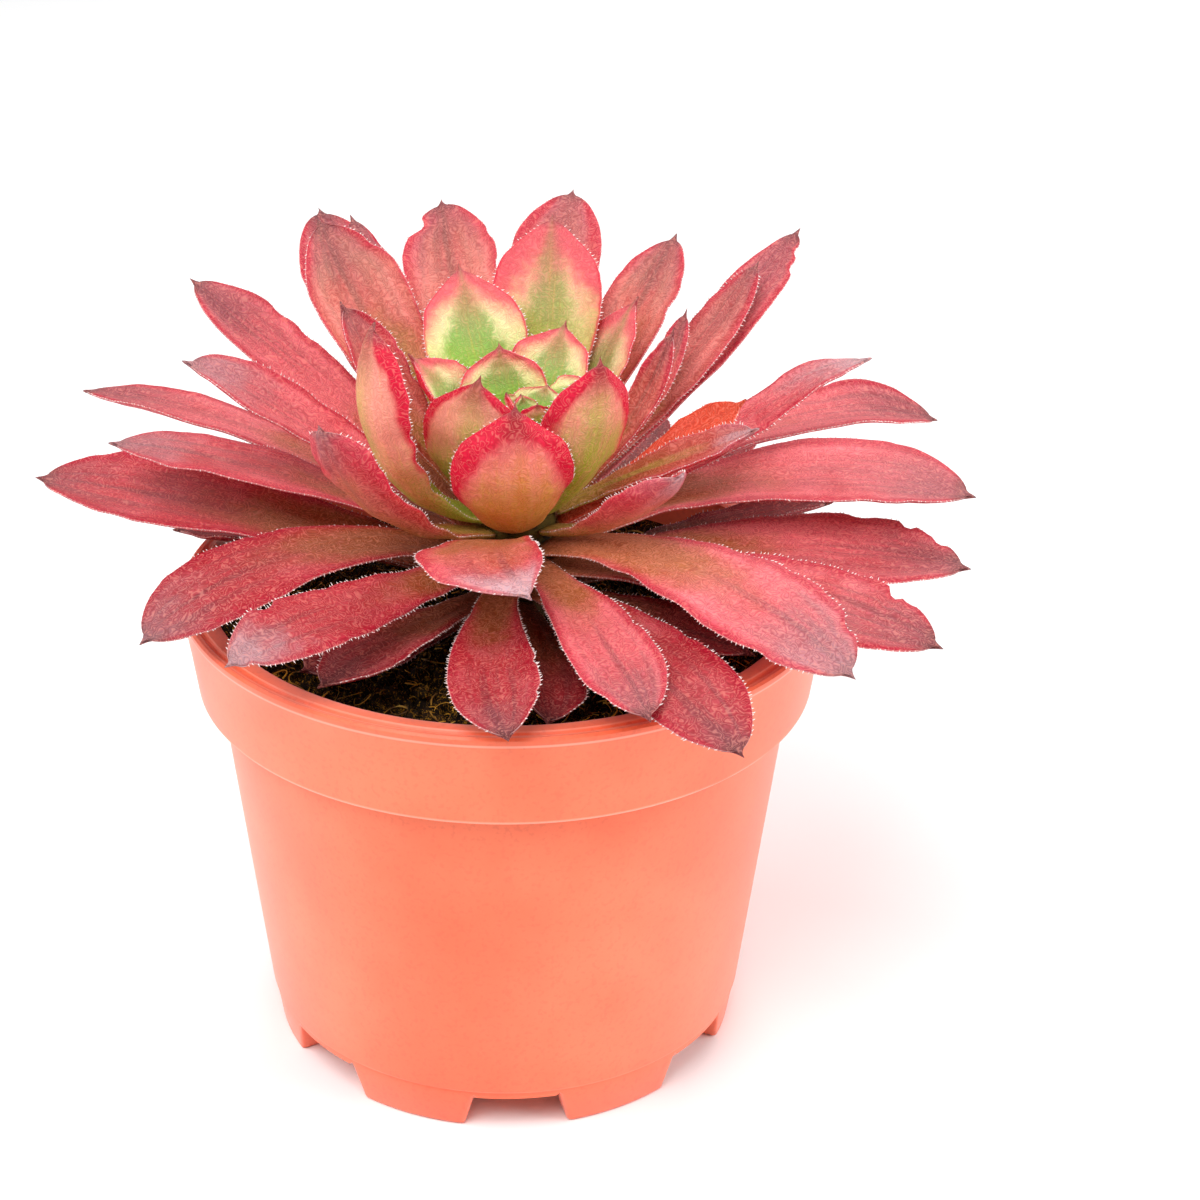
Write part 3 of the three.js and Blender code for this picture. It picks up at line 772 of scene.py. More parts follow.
# The whorls of leaves, from the oldest to the youngest, with their looks in the order above. A leaf's row
# holds, in millimetres and degrees: heading from +X, height of the root, length, slope at the root, slope at
# the tip, width, cupping (radians each side of the midrib), roll, change of heading to the tip.
WHORLS = {
    "low": {
        "shape": "spoon", "neck": 0.4, "thick": 1.8, "looks": (0.75, 0.66, 0, 0, 0, 0.3, 0),
        "leaves": [
            (-136, 89.5, 41.5, -2, 6, 14.5, 0.4, -17, -2),
            (-74, 90, 45, 1, 2, 13, 0.6, -13, -21),
            (17, 90.2, 55.5, 2, 9, 12.5, 0.45, 2, 1),
            (164, 91, 58.5, 10, -4, 13, 0.5, 4, 2),
            (-127, 91.6, 46, 4, 0, 13, 0.5, -4, 0),
            (98, 91.8, 60, 9, 4, 15, 0.45, 0, 0),
            (-37, 92.3, 44, 2, 0, 13, 0.5, 9, 0),
            (12, 92.6, 54, 15, 4, 10, 0.5, -6, 1),
            (63, 93, 60, 10, 4, 15, 0.5, 13, 0),
            (121, 93.6, 60, 10, 4, 15, 0.5, -7, 0),
        ],
    },
    "outer": {
        "shape": "spoon", "neck": 0.4, "thick": 1.8, "looks": (0.14, 0.52, 0, 0, 0, 0.3, 0),
        "leaves": [
            (-61, 93.6, 70, 15, -13, 17.5, 0.2, 9, -2),
            (175, 94.2, 81.5, 13, 7, 24.5, 0.4, -5, -2),
            (43, 94.6, 59, 10, 6, 15.5, 0.5, 8, 0),
            (-100, 95, 60, 5, -1, 16, 0.5, 8, 20),
            (-9, 95.4, 74.5, 14, -4, 25, 0.25, 3, -4),
            (157, 96.4, 89, 27, -6, 13.5, 0.35, 5, -8),
            (33, 96.8, 93.5, 24, -13, 16, 0.55, -3, -3),
            (78, 96.9, 60, 22, 14, 16, 0.5, -17, 0),
            (-32, 97, 75, 15, -11, 21, 0.25, 8, 5),
            (134, 97.5, 60, 23, 12, 15.5, 0.45, 16, 0),
            (-160, 98, 67.5, 25, -25, 20, 0.1, -7, 20),
            (100, 98.3, 61, 20, 14, 15.5, 0.55, -3, 0),
        ],
    },
    "upper": {
        "shape": "spoon", "neck": 0.4, "thick": 1.8, "looks": (0, 0.44, 0, 0, 0, 0.3, 0),
        "leaves": [
            (-71, 99, 59, 10, -11, 15, 0.3, 5, -1),
            (-128, 99, 67.5, 7, 8, 13, 0.1, -26, -3),
            (12, 99.4, 77, 22, -7, 27.5, 0.35, 1, -27),
            (176, 100, 68, 22, 7, 19, 0.25, 4, 0),
            (124, 100.6, 82.5, 22, 35, 21, 0.4, 2, -10),
            (47, 101.2, 84.5, 20, 32, 13, 0.2, -1, 2),
            (-42, 101.4, 69, 20, -22, 22, 0.1, 7, -3),
            (117, 102.4, 74, 28, 34, 10.5, 0.2, 6, 1),
            (-103, 102.1, 42, 34, -5, 26, 0.25, 6, 33),
            (152, 102.3, 71.5, 31, 28, 13, 0.55, -21, -3),
            (15, 102.3, 65.5, 19, 32, 11.5, 0.15, 10, 9),
            (-178, 102.8, 60, 33, 36, 14, 0.55, -16, -1),
        ],
    },
    "middle": {
        "shape": "spoon", "neck": 0.34, "thick": 1.8, "looks": (0, 0.5, 0, 0.1, 0.3, 0.5, 0.3),
        "leaves": [
            (84, 103, 71.5, 44, 29, 18, 0.45, 5, -8),
            (-143, 103.7, 53.5, 10, 67, 15, 0.95, -1, 24),
            (43, 103.8, 68.5, 20, 35, 10, 0.25, 4, 9),
            (-3, 104, 39, 30, 39, 10.5, 0.45, 19, 14),
            (-43, 104.3, 39.5, 14, 52, 15, 1.1, -2, -12),
            (109, 105.1, 66, 41, 34, 19.5, 0.6, -18, -10),
            (143, 105.5, 60.5, 39, 56, 20, 0.75, -21, -7),
            (31, 105.1, 45.5, 25, 53, 6, 0.4, 14, 28),
            (-154, 106.2, 51.5, 10, 112, 20, 1.35, -6, 5),
            (165, 106.2, 44, 43, 66, 12, 0.95, -31, 2),
            (12, 106.7, 37.5, 38, 73, 6.5, 0.8, 39, 8),
            (56, 106, 59.5, 36, 39, 16.5, 0.4, -10, 2),
            (-10, 106.9, 40, 29, 26, 8, 0.9, 30, -7),
        ],
    },
    "inner": {
        "shape": "cup", "neck": 0.33, "thick": 1.6, "looks": (0, 0.45, 0, 1, 1, 0.2, 0),
        "leaves": [
            (-92, 105.7, 35, 22, 104, 23.5, 0.75, 10, -4),
            (-50, 108.3, 36.5, 41, 91, 19.5, 0.75, -11, -5),
            (49.5, 108.1, 38, 49, 53, 18.5, 0.4, -17, -7),
            (-130, 108.7, 28.5, 38, 118, 23.5, 0.65, 15, 3),
            (79, 110.2, 51.5, 53, 40, 21.5, 0.5, 2, 7),
            (117, 111.7, 39, 51, 52, 20, 0.45, -8, -10),
            (160, 112, 25.5, 60, 47, 17, 0.95, -9, 1),
            (71, 114, 25, 59, 50, 17.5, 0.75, -1, -6),
            (116, 117.5, 17.5, 58, 71, 17.5, 0.7, -27, -5),
        ],
    },
}

# Leaves that differ from the rest of their whorl, in a look or in one of these:
# shape: how wide the leaf is along its length
# tone: how light and pink it is, from 0 to 1, where chance doesn't decide
# nicks: bites out of the margin: side, place along it, depth as a share of half its width, reach along it
# ripple: wave of the margin, in millimetres
# twist: how far the blade turns about its midrib towards the tip, in degrees
# hook: change of slope and of heading at the tip, in degrees
# halves: share of the usual width on the left and on the right, and of the usual neck
LEAVES_APART = {
    "low_leaf_01": {"tone": 0.0},
    "outer_leaf_01": {"shade": 0.3, "bronze": 0.5, "tone": 0.1},
    "outer_leaf_02": {"shade": 0.1, "bronze": 0.6, "tone": 0.05},
    "outer_leaf_04": {"shade": 0.4, "bronze": 0.5, "tone": 0.1},
    "outer_leaf_05": {"tone": 0.85, "nicks": [(1, 0.86, 0.14, 0.02), (1, 0.94, 0.2, 0.02)]},
    "outer_leaf_06": {"tone": 0.9},
    "outer_leaf_07": {"tone": 0.95, "twist": 22, "hook": (-10, -6)},
    "outer_leaf_09": {"tone": 0.4, "nicks": [(1, 0.86, 0.2, 0.02)]},
    "outer_leaf_11": {"shade": 0.45, "bronze": 0.58, "bleach_and_sheen": 0.3, "tone": 0.05},
    "upper_leaf_01": {"bronze": 0.52, "tone": 0.8},
    "upper_leaf_02": {
        "shade": 0.3, "bronze": 0.45, "bleach_and_sheen": 0.75, "tone": 0.1, "hook": (-12, 6),
        "nicks": [(-1, 0.8, 0.2, 0.04), (1, 0.96, 0.3, 0.02)],
    },
    "upper_leaf_03": {"bronze": 0.52, "tone": 0.75},
    "upper_leaf_04": {"bronze": 0.5, "bleach_and_sheen": 0.25, "tone": 0.2},
    "upper_leaf_05": {"ripple": 1.2},
    "upper_leaf_06": {"tone": 0.9, "nicks": [(-1, 0.95, 0.3, 0.02), (-1, 0.9, 0.16, 0.02)]},
    "upper_leaf_07": {
        "bronze": 0.6, "bleach_and_sheen": 0.3, "tone": 0.8, "ripple": 0.9,
        "nicks": [(1, 0.9, 0.14, 0.03), (-1, 0.82, 0.06, 0.04)],
    },
    "upper_leaf_09": {
        "shape": "broad", "bronze": 0.75, "bleach_and_sheen": 0.85, "hook": (-2, 4), "halves": (1.14, 0.5, 0.5),
    },
    "upper_leaf_10": {"tone": 0.85},
    "upper_leaf_11": {"bronze": 0.3, "bleach_and_sheen": 0.6, "ripple": 1.2, "twist": -14, "hook": (-20, -10)},
    "upper_leaf_12": {"bronze": 0.4, "bleach_and_sheen": 0.3, "tone": 0.9, "hook": (-10, 6)},
    "middle_leaf_02": {
        "bronze": 0.36, "bleach_and_sheen": 0.2, "band": 1, "ripple": 1.6, "twist": 10,
        "nicks": [(-1, 0.8, 0.35, 0.03)],
    },
    "middle_leaf_03": {"tone": 0.9},
    "middle_leaf_04": {"bronze": 0.2, "young": 0, "young_back": 0, "band": 0.3, "warm": 1},
    "middle_leaf_05": {"bronze": 0.36, "bleach_and_sheen": 0.7, "band": 1, "warm": 0},
    "middle_leaf_06": {"young": 0.14, "band": 0.3, "warm": 0, "tone": 0.8, "nicks": [(1, 0.93, 0.3, 0.03)]},
    "middle_leaf_07": {"bronze": 0.62, "young": 0.14, "band": 0.3, "warm": 0, "tone": 0.8},
    "middle_leaf_09": {"bronze": 0.36, "young": 0.6, "young_back": 1, "band": 0, "warm": 0, "ripple": 1.3},
    "middle_leaf_12": {"bronze": 0.56, "young": 0.14, "band": 0.3, "warm": 0, "tone": 0.8},
    "middle_leaf_13": {
        "bronze": 0.7, "bleach_and_sheen": 0.7, "young_back": 0.5, "band": 1, "warm": 0, "hook": (8, -14),
    },
    "inner_leaf_01": {"bronze": 0.6, "young": 0.8, "band": 0.84, "warm": 1},
    "inner_leaf_02": {"bronze": 0.66, "young": 0.8, "band": 0.5},
    "inner_leaf_03": {"shape": "broad", "bronze": 0.42, "young": 0.8},
    "inner_leaf_04": {"bronze": 0.5, "young": 0.8, "band": 0.1},
    "inner_leaf_05": {"shape": "broad", "bronze": 0.3, "young": 0.74, "band": 0.4},
    "inner_leaf_06": {"shape": "broad"},
    "inner_leaf_08": {"shape": "broad"},
}

WIDEST = {"spoon": 0.74, "broad": 0.6, "cup": 0.5}  # where a leaf is widest along its length
TIP_PINCH = {"spoon": 0.14, "broad": 0.38, "cup": 0.34}  # how much its end narrows towards the point
LEAF_ROOT = 0.1 * MM  # the blade starts this far off the stem's surface
SPINE_STEPS = 96
MUCRO = 1.7 * MM  # length of the pointed tip
MUCRO_SHARE = 0.07  # longest the pointed tip gets, as a share of the leaf
RIPPLE = 0.6  # usual wave of a margin, in millimetres
THIN = 0.6 * MM  # least thickness inside the margins
HAIR_THICK = 0.75 * MM  # scale across a hair, whose plain shape is 0.2 in radius at the root
HAIR_OUT = 0.35  # how far a hair's middle stands out of the margin, as a share of its length


class Leaf:
    """One leaf's form, and where any point of its blade lies."""

    def __init__(self, shape, row, neck, thick, seed, apart, root=LEAF_ROOT):
        heading, base, reach, rise, end, width, cup, roll, sway = row
        left, right, neck_share = apart.get("halves", (1, 1, 1))
        self.widest, self.pinch = WIDEST[shape], TIP_PINCH[shape]
        self.neck, self.thick, self.seed = neck * neck_share, thick * MM, seed
        self.halves = {-1: left, 1: right}
        self.length, self.width, self.cup = reach * MM, width * MM, cup
        self.ripple = apart.get("ripple", RIPPLE)
        draw = Random(int(seed * 100))
        self.tone = apart.get("tone", draw.random())
        self.nicks = list(apart.get("nicks", ()))
        for _ in range(2 if shape == "spoon" else 0):
            side, place = draw.choice((-1, 1)), draw.uniform(0.55, 0.95)
            self.nicks.append((side, place, draw.uniform(0.03, 0.08), draw.uniform(0.015, 0.04)))
        angles = (heading, rise, end, roll, sway, apart.get("twist", 0), *apart.get("hook", (0, 0)))
        self.spine = self.grow_spine(base * MM, root, *(radians(angle) for angle in angles))

    def grow_spine(self, base, root, heading, rise, end, roll, sway, twist, hook_down, hook_aside):
        """The midrib: points, and the directions along it, across it and out of the upper face."""
        reach = stem_radius(base) + root + self.thick / 2 * max(sin(rise), 0)
        point = Vector((stem_centre(base) + reach * cos(heading), reach * sin(heading), base))
        spine, before = [], None
        for step in range(SPINE_STEPS + 1):
            along = step / SPINE_STEPS
            bent = smooth((along - 0.7) / 0.3)
            slope = mix(rise, end, along) + hook_down * bent
            turn = heading + sway * along + hook_aside * bent
            ahead = Vector((cos(turn) * cos(slope), sin(turn) * cos(slope), sin(slope)))
            if before:
                point = point + (before + ahead) * (self.length / SPINE_STEPS / 2)
            tilt = roll + twist * smooth((along - 0.3) / 0.7)
            across = Matrix.Rotation(tilt, 3, ahead) @ Vector((-sin(turn), cos(turn), 0))
            spine.append((point, ahead, across, ahead.cross(across)))
            before = ahead
        return spine

    def station(self, along):
        """The midrib's point and directions anywhere along it."""
        place = min(max(along, 0.0), 1.0) * SPINE_STEPS
        step = min(int(place), SPINE_STEPS - 1)
        return [a.lerp(b, place - step) for a, b in zip(self.spine[step], self.spine[step + 1])]

    def noise(self, x, y, spread=1.0):
        """Noise about 0 that is this leaf's own."""
        return noise.noise(Vector((x, y, self.seed * spread)))

    def half_width(self, along, side):
        """Half the blade's width, with its small waves and bites."""
        if along < self.widest:
            spread = self.neck + (1 - self.neck) * smooth(along / self.widest) ** 1.15
        else:
            past = (along - self.widest) / (1 - self.widest)
            spread = max(1 - past**2.5, 0) ** 0.58 * (1 - self.pinch * smooth((along - 0.8) / 0.2))
        spread *= mix(1, self.halves[side], smooth(along / 0.5))
        wave = self.noise(along * 8, side * 3.7, 1.9)
        fine = self.noise(along * 40, side * 5.1, 2.3)
        spread *= 1 + 0.04 * wave + 0.012 * fine
        for where, place, depth, reach in self.nicks:
            if where == side:
                spread *= 1 - depth * max(1 - ((along - place) / reach) ** 2, 0)
        return max(self.width / 2 * spread, mix(0.35, 0.04, smooth((along - 0.96) / 0.04)) * MM)

    def relief(self, along, rib, side):
        """How far the blade's surface lies off its even curve: folds, midrib groove, swells and wrinkles."""
        grown = smooth(along / 0.3) * smooth((1 - along) / 0.1)
        edge = 1 if rib > 0 else -1
        fold = 0.34 * self.noise(along * 1.8, rib * 4.4, 2.7) * (1 - rib**4)
        groove = -0.2 * max(1 - abs(rib) / 0.17, 0) * max(side, 0)
        swell = 0.42 * self.noise(along * 6, rib * 1.6, 3.1)
        wrinkle = 0.2 * self.noise(along * 26, rib * 5) * smooth((along - 0.6) / 0.3)
        wave = self.ripple * abs(rib) ** 3 * self.noise(along * 10, edge * 2.2)
        return (fold + groove + swell + wrinkle + wave) * grown * MM

    def point(self, along, rib, side):
        """A point of the blade: side is 1 on the upper face and -1 on the lower one."""
        middle, ahead, across, out = self.station(along)
        half = self.half_width(along, 1 if rib > 0 else -1)
        cup = max(self.cup * (0.4 + 0.6 * smooth(along / 0.35)), 0.001)
        angle = cup * rib
        full = self.thick * (1 - 0.6 * abs(rib) ** 1.5) * (0.5 + 0.5 * sqrt(max(1 - along**3, 0)))
        full = max(full, THIN) * mix(0.1, 1, sqrt(max(1 - abs(rib) ** 22, 0)))
        full *= mix(0.1, 1, sqrt(max(1 - along**60, 0)))
        sideways = (half / cup - side * full / 2) * sin(angle)
        upwards = half / cup * (1 - cos(angle)) + side * full / 2 * cos(angle)
        upwards += self.relief(along, rib, side)
        mucro = min(MUCRO, self.length * MUCRO_SHARE) * smooth((along - 0.95) / 0.05) * (1 - abs(rib)) ** 2
        return middle + across * sideways + out * upwards + ahead * mucro

    def blade(self, bm, stations, ribs, looks):
        """Adds the closed blade to a bmesh, with its UV map and the layers its material reads."""
        uv = bm.loops.layers.uv.new("blade")
        mood = bm.verts.layers.float_color.new("mood")
        back = bm.verts.layers.float_color.new("back")
        under = bm.verts.layers.float.new("under")
        upper = bmesh.ops.create_grid(bm, x_segments=ribs, y_segments=stations, size=1)["verts"]
        faces = list({face for vert in upper for face in vert.link_faces})
        lower = corners_of(bmesh.ops.extrude_face_region(bm, geom=faces, use_keep_orig=True)["geom"])
        faces = set()
        for verts, side in ((upper, 1), (lower, -1)):
            for vert in verts:
                rib = sin(pi / 2 * vert.co.x)
                along = 1 - (1 - (vert.co.y + 1) / 2) ** 1.25
                vert[mood] = looks[:4]
                vert[back] = (*looks[4:], self.tone)
                vert[under] = 0.0 if side > 0 else 1.0
                for loop in vert.link_loops:
                    loop[uv].uv = ((rib + 1) / 2, along)
                faces.update(vert.link_faces)
                vert.co = self.point(along, rib, side)
        bmesh.ops.recalc_face_normals(bm, faces=list(faces))

    def hairs(self, bm, size, pitch, material_index):
        """Fills a bmesh with the fringe of hairs along both margins."""
        draw = Random(int(self.seed * 100) + 1)
        count = max(int(self.length / pitch), 2)
        bmesh.ops.create_cone(bm, cap_ends=True, segments=3, radius1=0.2, radius2=0.03, depth=1)
        places = []
        for edge in (-1, 1):
            for i in range(count):
                along = min(max(0.06 + 0.925 * (i + draw.uniform(-0.35, 0.35)) / count, 0.04), 0.985)
                root, inward = self.point(along, edge, 0), self.point(along, edge * 0.9, 0)
                _, ahead, _, out = self.station(along)
                away = (root - inward).normalized()
                away += ahead * draw.uniform(-0.2, 0.7)
                away += out * draw.uniform(-0.5, 0.5)
                long = size * draw.uniform(0.5, 1.3) * (0.5 + 0.5 * smooth(along / 0.3))
                stand = Matrix.Translation(root + away.normalized() * long * HAIR_OUT)
                turn = away.to_track_quat("Z", "Y").to_matrix().to_4x4()
                places.append(stand @ turn @ Matrix.Diagonal((HAIR_THICK, HAIR_THICK, long, 1)))
        for vert, index, local in repeated(bm, len(places)):
            vert.co = places[index] @ local
        for face in bm.faces:
            face.material_index = material_index


LIGHT_LINE = srgb(250, 160, 140)  # raised lines of the leaf's curled grain
PAINTED_GULLY_SHADE = srgb(196, 146, 142)  # and the painted shade in the hollows between them
BRIGHT_MARGIN = srgb(250, 214, 208)
DRY_TIP = srgb(128, 78, 80)
RUST = srgb(232, 80, 42)  # the one old leaf that has turned orange
YOUNG_MIDRIB = srgb(206, 122, 104)  # midrib near a young leaf's tip, on its face
YOUNG_KEEL = srgb(150, 44, 46)  # the same on its back


def leaf_skin(leaf):
    """The leaf's skin, painted along and across the blade."""
    made, shader, paint, place = material(
        "leaf_skin", Subsurface_Weight=0.08, Subsurface_Scale=0.002, Subsurface_Radius=(1.0, 0.3, 0.2),
        Specular_IOR_Level=0.24,
    )
    uv = paint.add("ShaderNodeUVMap", {"uv_map": "blade"})
    across = uv.add("ShaderNodeSeparateXYZ", {}, {"Vector": uv}, "X")
    along = across.other("Y")
    rib = abs(across * 2 - 1)
    shade, bronze, bleach_and_sheen, young = paint.channels("mood")
    young_back, band, warm, tone = paint.channels("back")
    under = paint.add("ShaderNodeAttribute", {"attribute_name": "under"}, {}, "Fac")

    cloud = place.grain(95, 3) - 0.5
    drift = place.grain(360, 3, 0.6) - 0.5
    worm = place.grain(670, 0.0, distortion=0.7)
    curl = worm.maths("PINGPONG", worm * 5, 0.5) * 2
    line, gully_shade = 1 - curl.rise(0.1, 0.4), curl.rise(0.6, 0.9)
    long_noise = paint.add("ShaderNodeCombineXYZ", {}, {"X": across * 9, "Y": along * 1.3, "Z": tone * 40})
    streak = long_noise.grain(1.0, 3)
    fibre = long_noise.grain(3.4, 2)
    ragged = cloud * 0.5 + drift * 0.35 + (line - 0.5) * 0.05

    # Old leaf: bronze near the stem, crimson beyond, greyed streaks towards the tip.
    skin = (cloud + 0.34 + tone * 0.42).rise(0.3, 0.75).between(leaf.crimson, leaf.rose)
    skin = skin.tint(fibre.rise(0.5, 0.72) * 0.35, leaf.rose)
    base = 1 - (along + rib * rib * 0.3 + ragged * 0.6 - bronze).rise(-0.2, 0.16)
    skin = skin.tint(base * 0.82, young.rise(0.0, 0.14).between(leaf.bronze, leaf.olive))
    dust = (along + ragged * 0.6).rise(0.35, 0.7) * (1 - (rib + ragged * 0.4).rise(0.4, 0.85))
    skin = skin.tint(dust * 0.45, leaf.dust)
    grey = (along + ragged * 0.4).rise(0.35, 0.95) * (1 - rib * 0.8) * streak.rise(0.44, 0.62)
    skin = skin.tint(grey * 0.75, leaf.dusk)
    end = (along + ragged * 0.5 + tone * 0.1).rise(0.76, 1.02) * (1 - rib * rib * 0.5)
    skin = skin.tint(end * 0.7, leaf.ash)
    rim = (rib + ragged * 0.3 + streak * 0.2 + (band - 0.3) * 0.7).rise(0.82, 1.02) * along.rise(0.12, 0.4)
    skin = skin.tint(rim * 0.75, leaf.edge)

    # Young leaf: green middle, cream sides, pink towards the top and a red edge.
    top = along * along * 0.9 + rib * rib * 0.36 + ragged * 0.7 - bronze
    fresh = top.rise(0.04, 0.46).between(leaf.cream, leaf.pink)
    core = 1 - (rib + along * along * 0.9 + ragged * 1.1 - bronze * 0.6).rise(0.4, 0.8)
    fresh = fresh.tint(core * 0.92, fibre.rise(0.5, 0.85).between(leaf.green, leaf.moss))
    fresh = fresh.tint((1 - (along + ragged * 0.3).rise(0.3, 0.76)) * 0.9, leaf.lime)
    midrib = (1 - (rib + ragged * 0.4).rise(0.1, 0.5)) * (along + ragged * 0.3).rise(0.6, 0.95)
    fresh = fresh.tint(midrib * 0.7, YOUNG_MIDRIB)
    edge = (rib + ragged * 0.12).rise(0.93, 0.99) * along.rise(0.2, 0.5)
    fresh = fresh.tint(edge * 0.85, leaf.margin)
    skin = skin.tint(young, fresh)

    # Back of a young leaf: green or gold below, cream to pink flanks, a red margin that widens to the tip.
    far = along + ragged * 0.5
    back = (far + streak * 0.3).rise(0.35, 0.85).between(leaf.straw, leaf.blush)
    middle = 1 - (rib + ragged * 0.6 + streak * 0.3 - warm * 0.3).rise(0.05, 0.6)
    heart = warm.between(leaf.moss, streak.rise(0.4, 0.85).between(leaf.coral, leaf.blush))
    back = back.tint(middle * (1 - far.rise(0.55, 0.95) * 0.5) * 0.85, heart)
    foot = (warm * 0.8).between(fibre.rise(0.35, 0.65).between(leaf.moss, leaf.lime), leaf.gold)
    back = back.tint((1 - (far - bronze).rise(-0.3, 0.26)) * 0.9, foot)
    back = back.tint(fibre.rise(0.5, 0.8) * 0.3, leaf.straw)
    out = rib * rib * 0.62 + along * along * along * 0.65 + ragged * 0.5 + band * 0.24
    clear = along.rise(0.15, 0.5)  # the margin's red starts clear of the stem
    back = back.tint((out + streak * 0.3).rise(0.5, 0.85) * clear * (0.16 + band * 0.9), leaf.pink)
    back = back.tint((out + streak * 0.16).rise(0.64, 0.8) * clear, leaf.margin)
    keel = (1 - (rib + ragged * 0.4).rise(0.1, 0.7)) * (along + ragged * 0.2).rise(0.74, 0.96)
    back = back.tint(keel * 0.7, YOUNG_KEEL)
    skin = skin.tint(under, skin.tint(young_back, back))

    # All leaves: dry tip, pale end with painted sheen, rust, painted shade on the lowest leaves, curled
    # grain with painted shade in its hollows, bright margin.
    skin = skin.tint((along + ragged * 0.04).rise(0.95, 0.99) * (0.75 - young * 0.3), DRY_TIP)
    # pale end: greyed skin, partly painted sheen
    skin = skin.tint(bleach_and_sheen * (along + ragged * 0.4).rise(0.74, 0.97) * (1 - rim * 0.6) * 0.8, leaf.pale)
    skin = skin.tint(warm * (1 - young_back).rise(0.7, 1.0) * 0.85, RUST)
    # painted shade: the lowest leaves and some front ones multiplied towards maroon
    skin = skin.shade(shade * 0.85, leaf.maroon_and_shade)
    # painted shade in the hollows between the grain's raised lines
    skin = skin.shade(gully_shade * (0.55 - young * 0.25), PAINTED_GULLY_SHADE)
    skin = skin.tint(line * (0.27 + young * (under * 0.13 - 0.12)), LIGHT_LINE)
    skin = skin.tint(rib.rise(0.986, 1.0) * 0.3, BRIGHT_MARGIN)
    cover(
        shader,
        Base_Color=skin,
        Roughness=0.5 - bleach_and_sheen * 0.1 + drift * 0.2,
        Normal=relief(paint, line * 0.4 + fibre + cloud, 0.2 * MM, 0.9),
    )
    return made


def leaf_hair(leaf):
    """Pale stiff hairs."""
    made, shader, _, place = material("leaf_hair")
    cover(shader, Base_Color=place.grain(500).rise(0.56, 0.8).between(leaf.hair_colour, leaf.pink))
    return made


def skins_of(leaf):
    """The two materials of every leaf, made the first time they are asked for."""
    return [
        bpy.data.materials.get("leaf_skin") or leaf_skin(leaf),
        bpy.data.materials.get("leaf_hair") or leaf_hair(leaf),
    ]


SEEDS_PER_WHORL = 20
SEED_START = 0.37  # seed of the first leaf
HAIR_MATERIAL = 1  # the hairs' place among a leaf's materials


class AEONIUM_OT_whorl(bpy.types.Operator):
    """Builds one whorl of leaves with the hairs along their margins"""

    bl_idname = "aeonium.whorl"
    bl_label = "Whorl of leaves"

    whorl: EnumProperty(
        name="Whorl",
        description="Which whorl, from the oldest to the youngest",
        items=[(name, name.capitalize(), f"The {name} leaves") for name in WHORLS],
    )

    def execute(self, context):
        leaf = context.scene.aeonium.leaf
        facts = WHORLS[self.whorl]
        skins = skins_of(leaf)
        order = list(WHORLS).index(self.whorl)
        for index, row in enumerate(facts["leaves"]):
            node = f"{self.whorl}_leaf_{index + 1:02d}"
            apart = LEAVES_APART.get(node, {})
            shape = apart.get("shape", facts["shape"])
            looks = [apart.get(name, usual) for name, usual in zip(LOOKS, facts["looks"])]
            seed = order * SEEDS_PER_WHORL + index + SEED_START
            grown = Leaf(shape, row, facts["neck"], facts["thick"], seed, apart)
            bm = bmesh.new()
            grown.hairs(bm, leaf.hair, leaf.hair_pitch, HAIR_MATERIAL)
            grown.blade(bm, leaf.stations, leaf.ribs, looks)
            piece(bm, f"{self.whorl}_blade_{index + 1:02d}", node, skins, sharp=180)
        return {"FINISHED"}


# The smallest leaves: heading, length, slope at the root, slope at the tip, width.
BUD_LEAVES = [
    (60, 8, 50, 60, 11.5),
    (10, 12.5, 50, 50, 11),
    (178, 7.5, 62, 80, 7.5),
    (-70, 7, 60, 85, 6.5),
    (118, 6, 70, 80, 6),
]
BUD_BASE = 121.6  # height of their roots
BUD_NECK = 0.5
BUD_THICK = 1.2
BUD_CUP = 0.8
BUD_ROOT = -1.6 * MM  # they start inside the stem's width, round its top
BUD_RIPPLE = 0.2
BUD_STATIONS, BUD_RIBS = 24, 12
BUD_LOOKS = (0, 0.62, 0, 1, 1, 0.1, 0)
BUD_SEED = 140


class AEONIUM_OT_heart(bpy.types.Operator):
    """Builds the smallest leaves round the growing tip"""

    bl_idname = "aeonium.heart"
    bl_label = "Heart bud"

    def execute(self, context):
        leaf = context.scene.aeonium.leaf
        whole = bmesh.new()
        for index, (heading, reach, rise, end, width) in enumerate(BUD_LEAVES):
            row = (heading, BUD_BASE, reach, rise, end, width, BUD_CUP, 0, 0)
            apart = {"ripple": BUD_RIPPLE}
            grown = Leaf("cup", row, BUD_NECK, BUD_THICK, BUD_SEED + index, apart, root=BUD_ROOT)
            bm = bmesh.new()
            grown.hairs(bm, leaf.hair / 2, leaf.hair_pitch, HAIR_MATERIAL)
            grown.blade(bm, BUD_STATIONS, BUD_RIBS, BUD_LOOKS)
            part = mesh_of(bm, "bud_leaf")
            whole.from_mesh(part)
            bpy.data.meshes.remove(part)
        piece(whole, "heart_leaves", "heart_bud", skins_of(leaf), sharp=180)
        return {"FINISHED"}


# ---------------- stage

PHOTO_SIDE = 1200  # pixels
FOCAL_PIXELS = 2380
CENTRE_PIXELS = (505, 660)  # where the view's axis meets the picture
VIEW_DISTANCE = 450 * MM
VIEW_PITCH = radians(28.3)
AIM_HEIGHT = 75 * MM
SENSOR = 36.0  # width of the camera's sensor, in millimetres
NEAR = 10 * MM  # nearest that the camera sees
FLOOR_SIDE = 12  # metres
PAPER_LOW, PAPER_HIGH = 0.93, 0.95  # how light the floor's paper is
LIGHT_AIM = Vector((0, 0, 90 * MM))
LIGHT_SIDE = 0.8  # metres
LIGHTS = {  # where each square light stands, in metres, and its power in watts
    "key": ((-0.3, -0.6, 1.15), 13),
    "fill": ((1.0, -0.2, 0.55), 8.5),
    "side": ((-1.1, 0.0, 0.5), 7),
    "back": ((0.2, 0.9, 0.9), 6),
}
WORLD_STRENGTH = 0.3


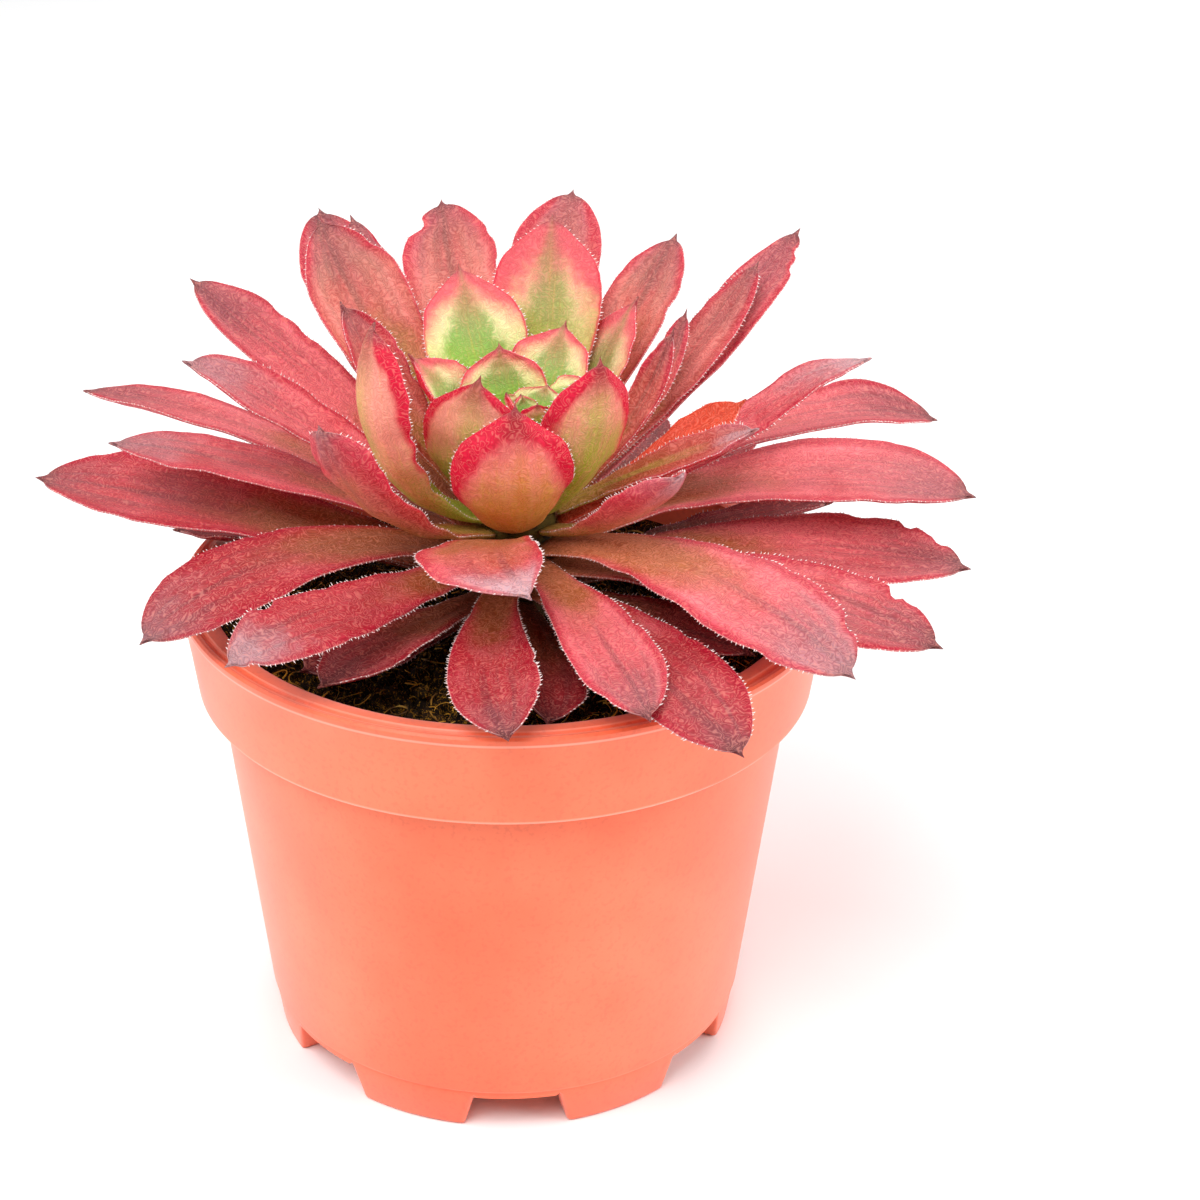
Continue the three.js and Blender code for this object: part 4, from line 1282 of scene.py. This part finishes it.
class AEONIUM_OT_stage(bpy.types.Operator):
    """Sets up the camera, the soft studio light and the pale floor"""

    bl_idname = "aeonium.stage"
    bl_label = "Stage"

    def execute(self, context):
        scene = context.scene
        data = bpy.data.cameras.new("view")
        data.sensor_width = SENSOR
        data.lens = SENSOR * FOCAL_PIXELS / PHOTO_SIDE
        data.shift_x = (PHOTO_SIDE / 2 - CENTRE_PIXELS[0]) / PHOTO_SIDE
        data.shift_y = (CENTRE_PIXELS[1] - PHOTO_SIDE / 2) / PHOTO_SIDE
        data.clip_start = NEAR
        camera = linked("view", data)
        camera.location = (
            0, -VIEW_DISTANCE * cos(VIEW_PITCH), AIM_HEIGHT + VIEW_DISTANCE * sin(VIEW_PITCH)
        )
        camera.rotation_euler = (pi / 2 - VIEW_PITCH, 0, 0)
        scene.camera = camera

        bm = bmesh.new()
        bmesh.ops.create_grid(bm, x_segments=1, y_segments=1, size=FLOOR_SIDE / 2)
        floor = linked("floor", mesh_of(bm, "floor"))
        paper, shader, _, place = material("floor_paper", Roughness=0.9)
        cover(shader, Base_Color=place.grain(3).between((PAPER_LOW,) * 3, (PAPER_HIGH,) * 3))
        floor.data.materials.append(paper)

        for name, (spot, power) in LIGHTS.items():
            data = bpy.data.lights.new(name, "AREA")
            data.shape = "SQUARE"
            data.size = LIGHT_SIDE
            data.energy = power
            light = linked(name, data)
            light.location = spot
            light.rotation_euler = (LIGHT_AIM - Vector(spot)).to_track_quat("-Z", "Y").to_euler()
        world = bpy.data.worlds.new("studio")
        world.use_nodes = True
        world.node_tree.nodes["Background"].inputs["Color"].default_value = (1, 1, 1, 1)
        world.node_tree.nodes["Background"].inputs["Strength"].default_value = WORLD_STRENGTH
        scene.world = world
        scene.view_settings.view_transform = "Standard"
        return {"FINISHED"}


# ---------------- add-on


class AEONIUM_PT_panel(bpy.types.Panel):
    """Lists the parts of the plant and the sizes and colours behind them"""

    bl_idname = "AEONIUM_PT_panel"
    bl_label = "Potted Aeonium"
    bl_space_type = "VIEW_3D"
    bl_region_type = "UI"
    bl_category = "Aeonium"

    def draw(self, context):
        settings = context.scene.aeonium
        for operator in (AEONIUM_OT_stage, AEONIUM_OT_pot, AEONIUM_OT_soil, AEONIUM_OT_stem):
            self.layout.operator(operator.bl_idname)
        for whorl in WHORLS:
            title = f"{whorl.capitalize()} leaves"
            self.layout.operator(AEONIUM_OT_whorl.bl_idname, text=title).whorl = whorl
        self.layout.operator(AEONIUM_OT_heart.bl_idname)
        for group in (settings.pot, settings.soil, settings.leaf):
            box = self.layout.box()
            for name in group.__annotations__:
                box.prop(group, name)


CLASSES = (
    PotSettings,
    SoilSettings,
    LeafSettings,
    AeoniumSettings,
    AEONIUM_OT_pot,
    AEONIUM_OT_soil,
    AEONIUM_OT_stem,
    AEONIUM_OT_whorl,
    AEONIUM_OT_heart,
    AEONIUM_OT_stage,
    AEONIUM_PT_panel,
)


def register():
    for each in CLASSES:
        bpy.utils.register_class(each)
    bpy.types.Scene.aeonium = PointerProperty(type=AeoniumSettings)


def unregister():
    del bpy.types.Scene.aeonium
    for each in reversed(CLASSES):
        bpy.utils.unregister_class(each)


def main():
    register()
    bpy.ops.aeonium.stage()
    bpy.ops.aeonium.pot()
    bpy.ops.aeonium.soil()
    bpy.ops.aeonium.stem()
    for whorl in WHORLS:
        bpy.ops.aeonium.whorl(whorl=whorl)
    bpy.ops.aeonium.heart()


if __name__ == "__main__":
    main()
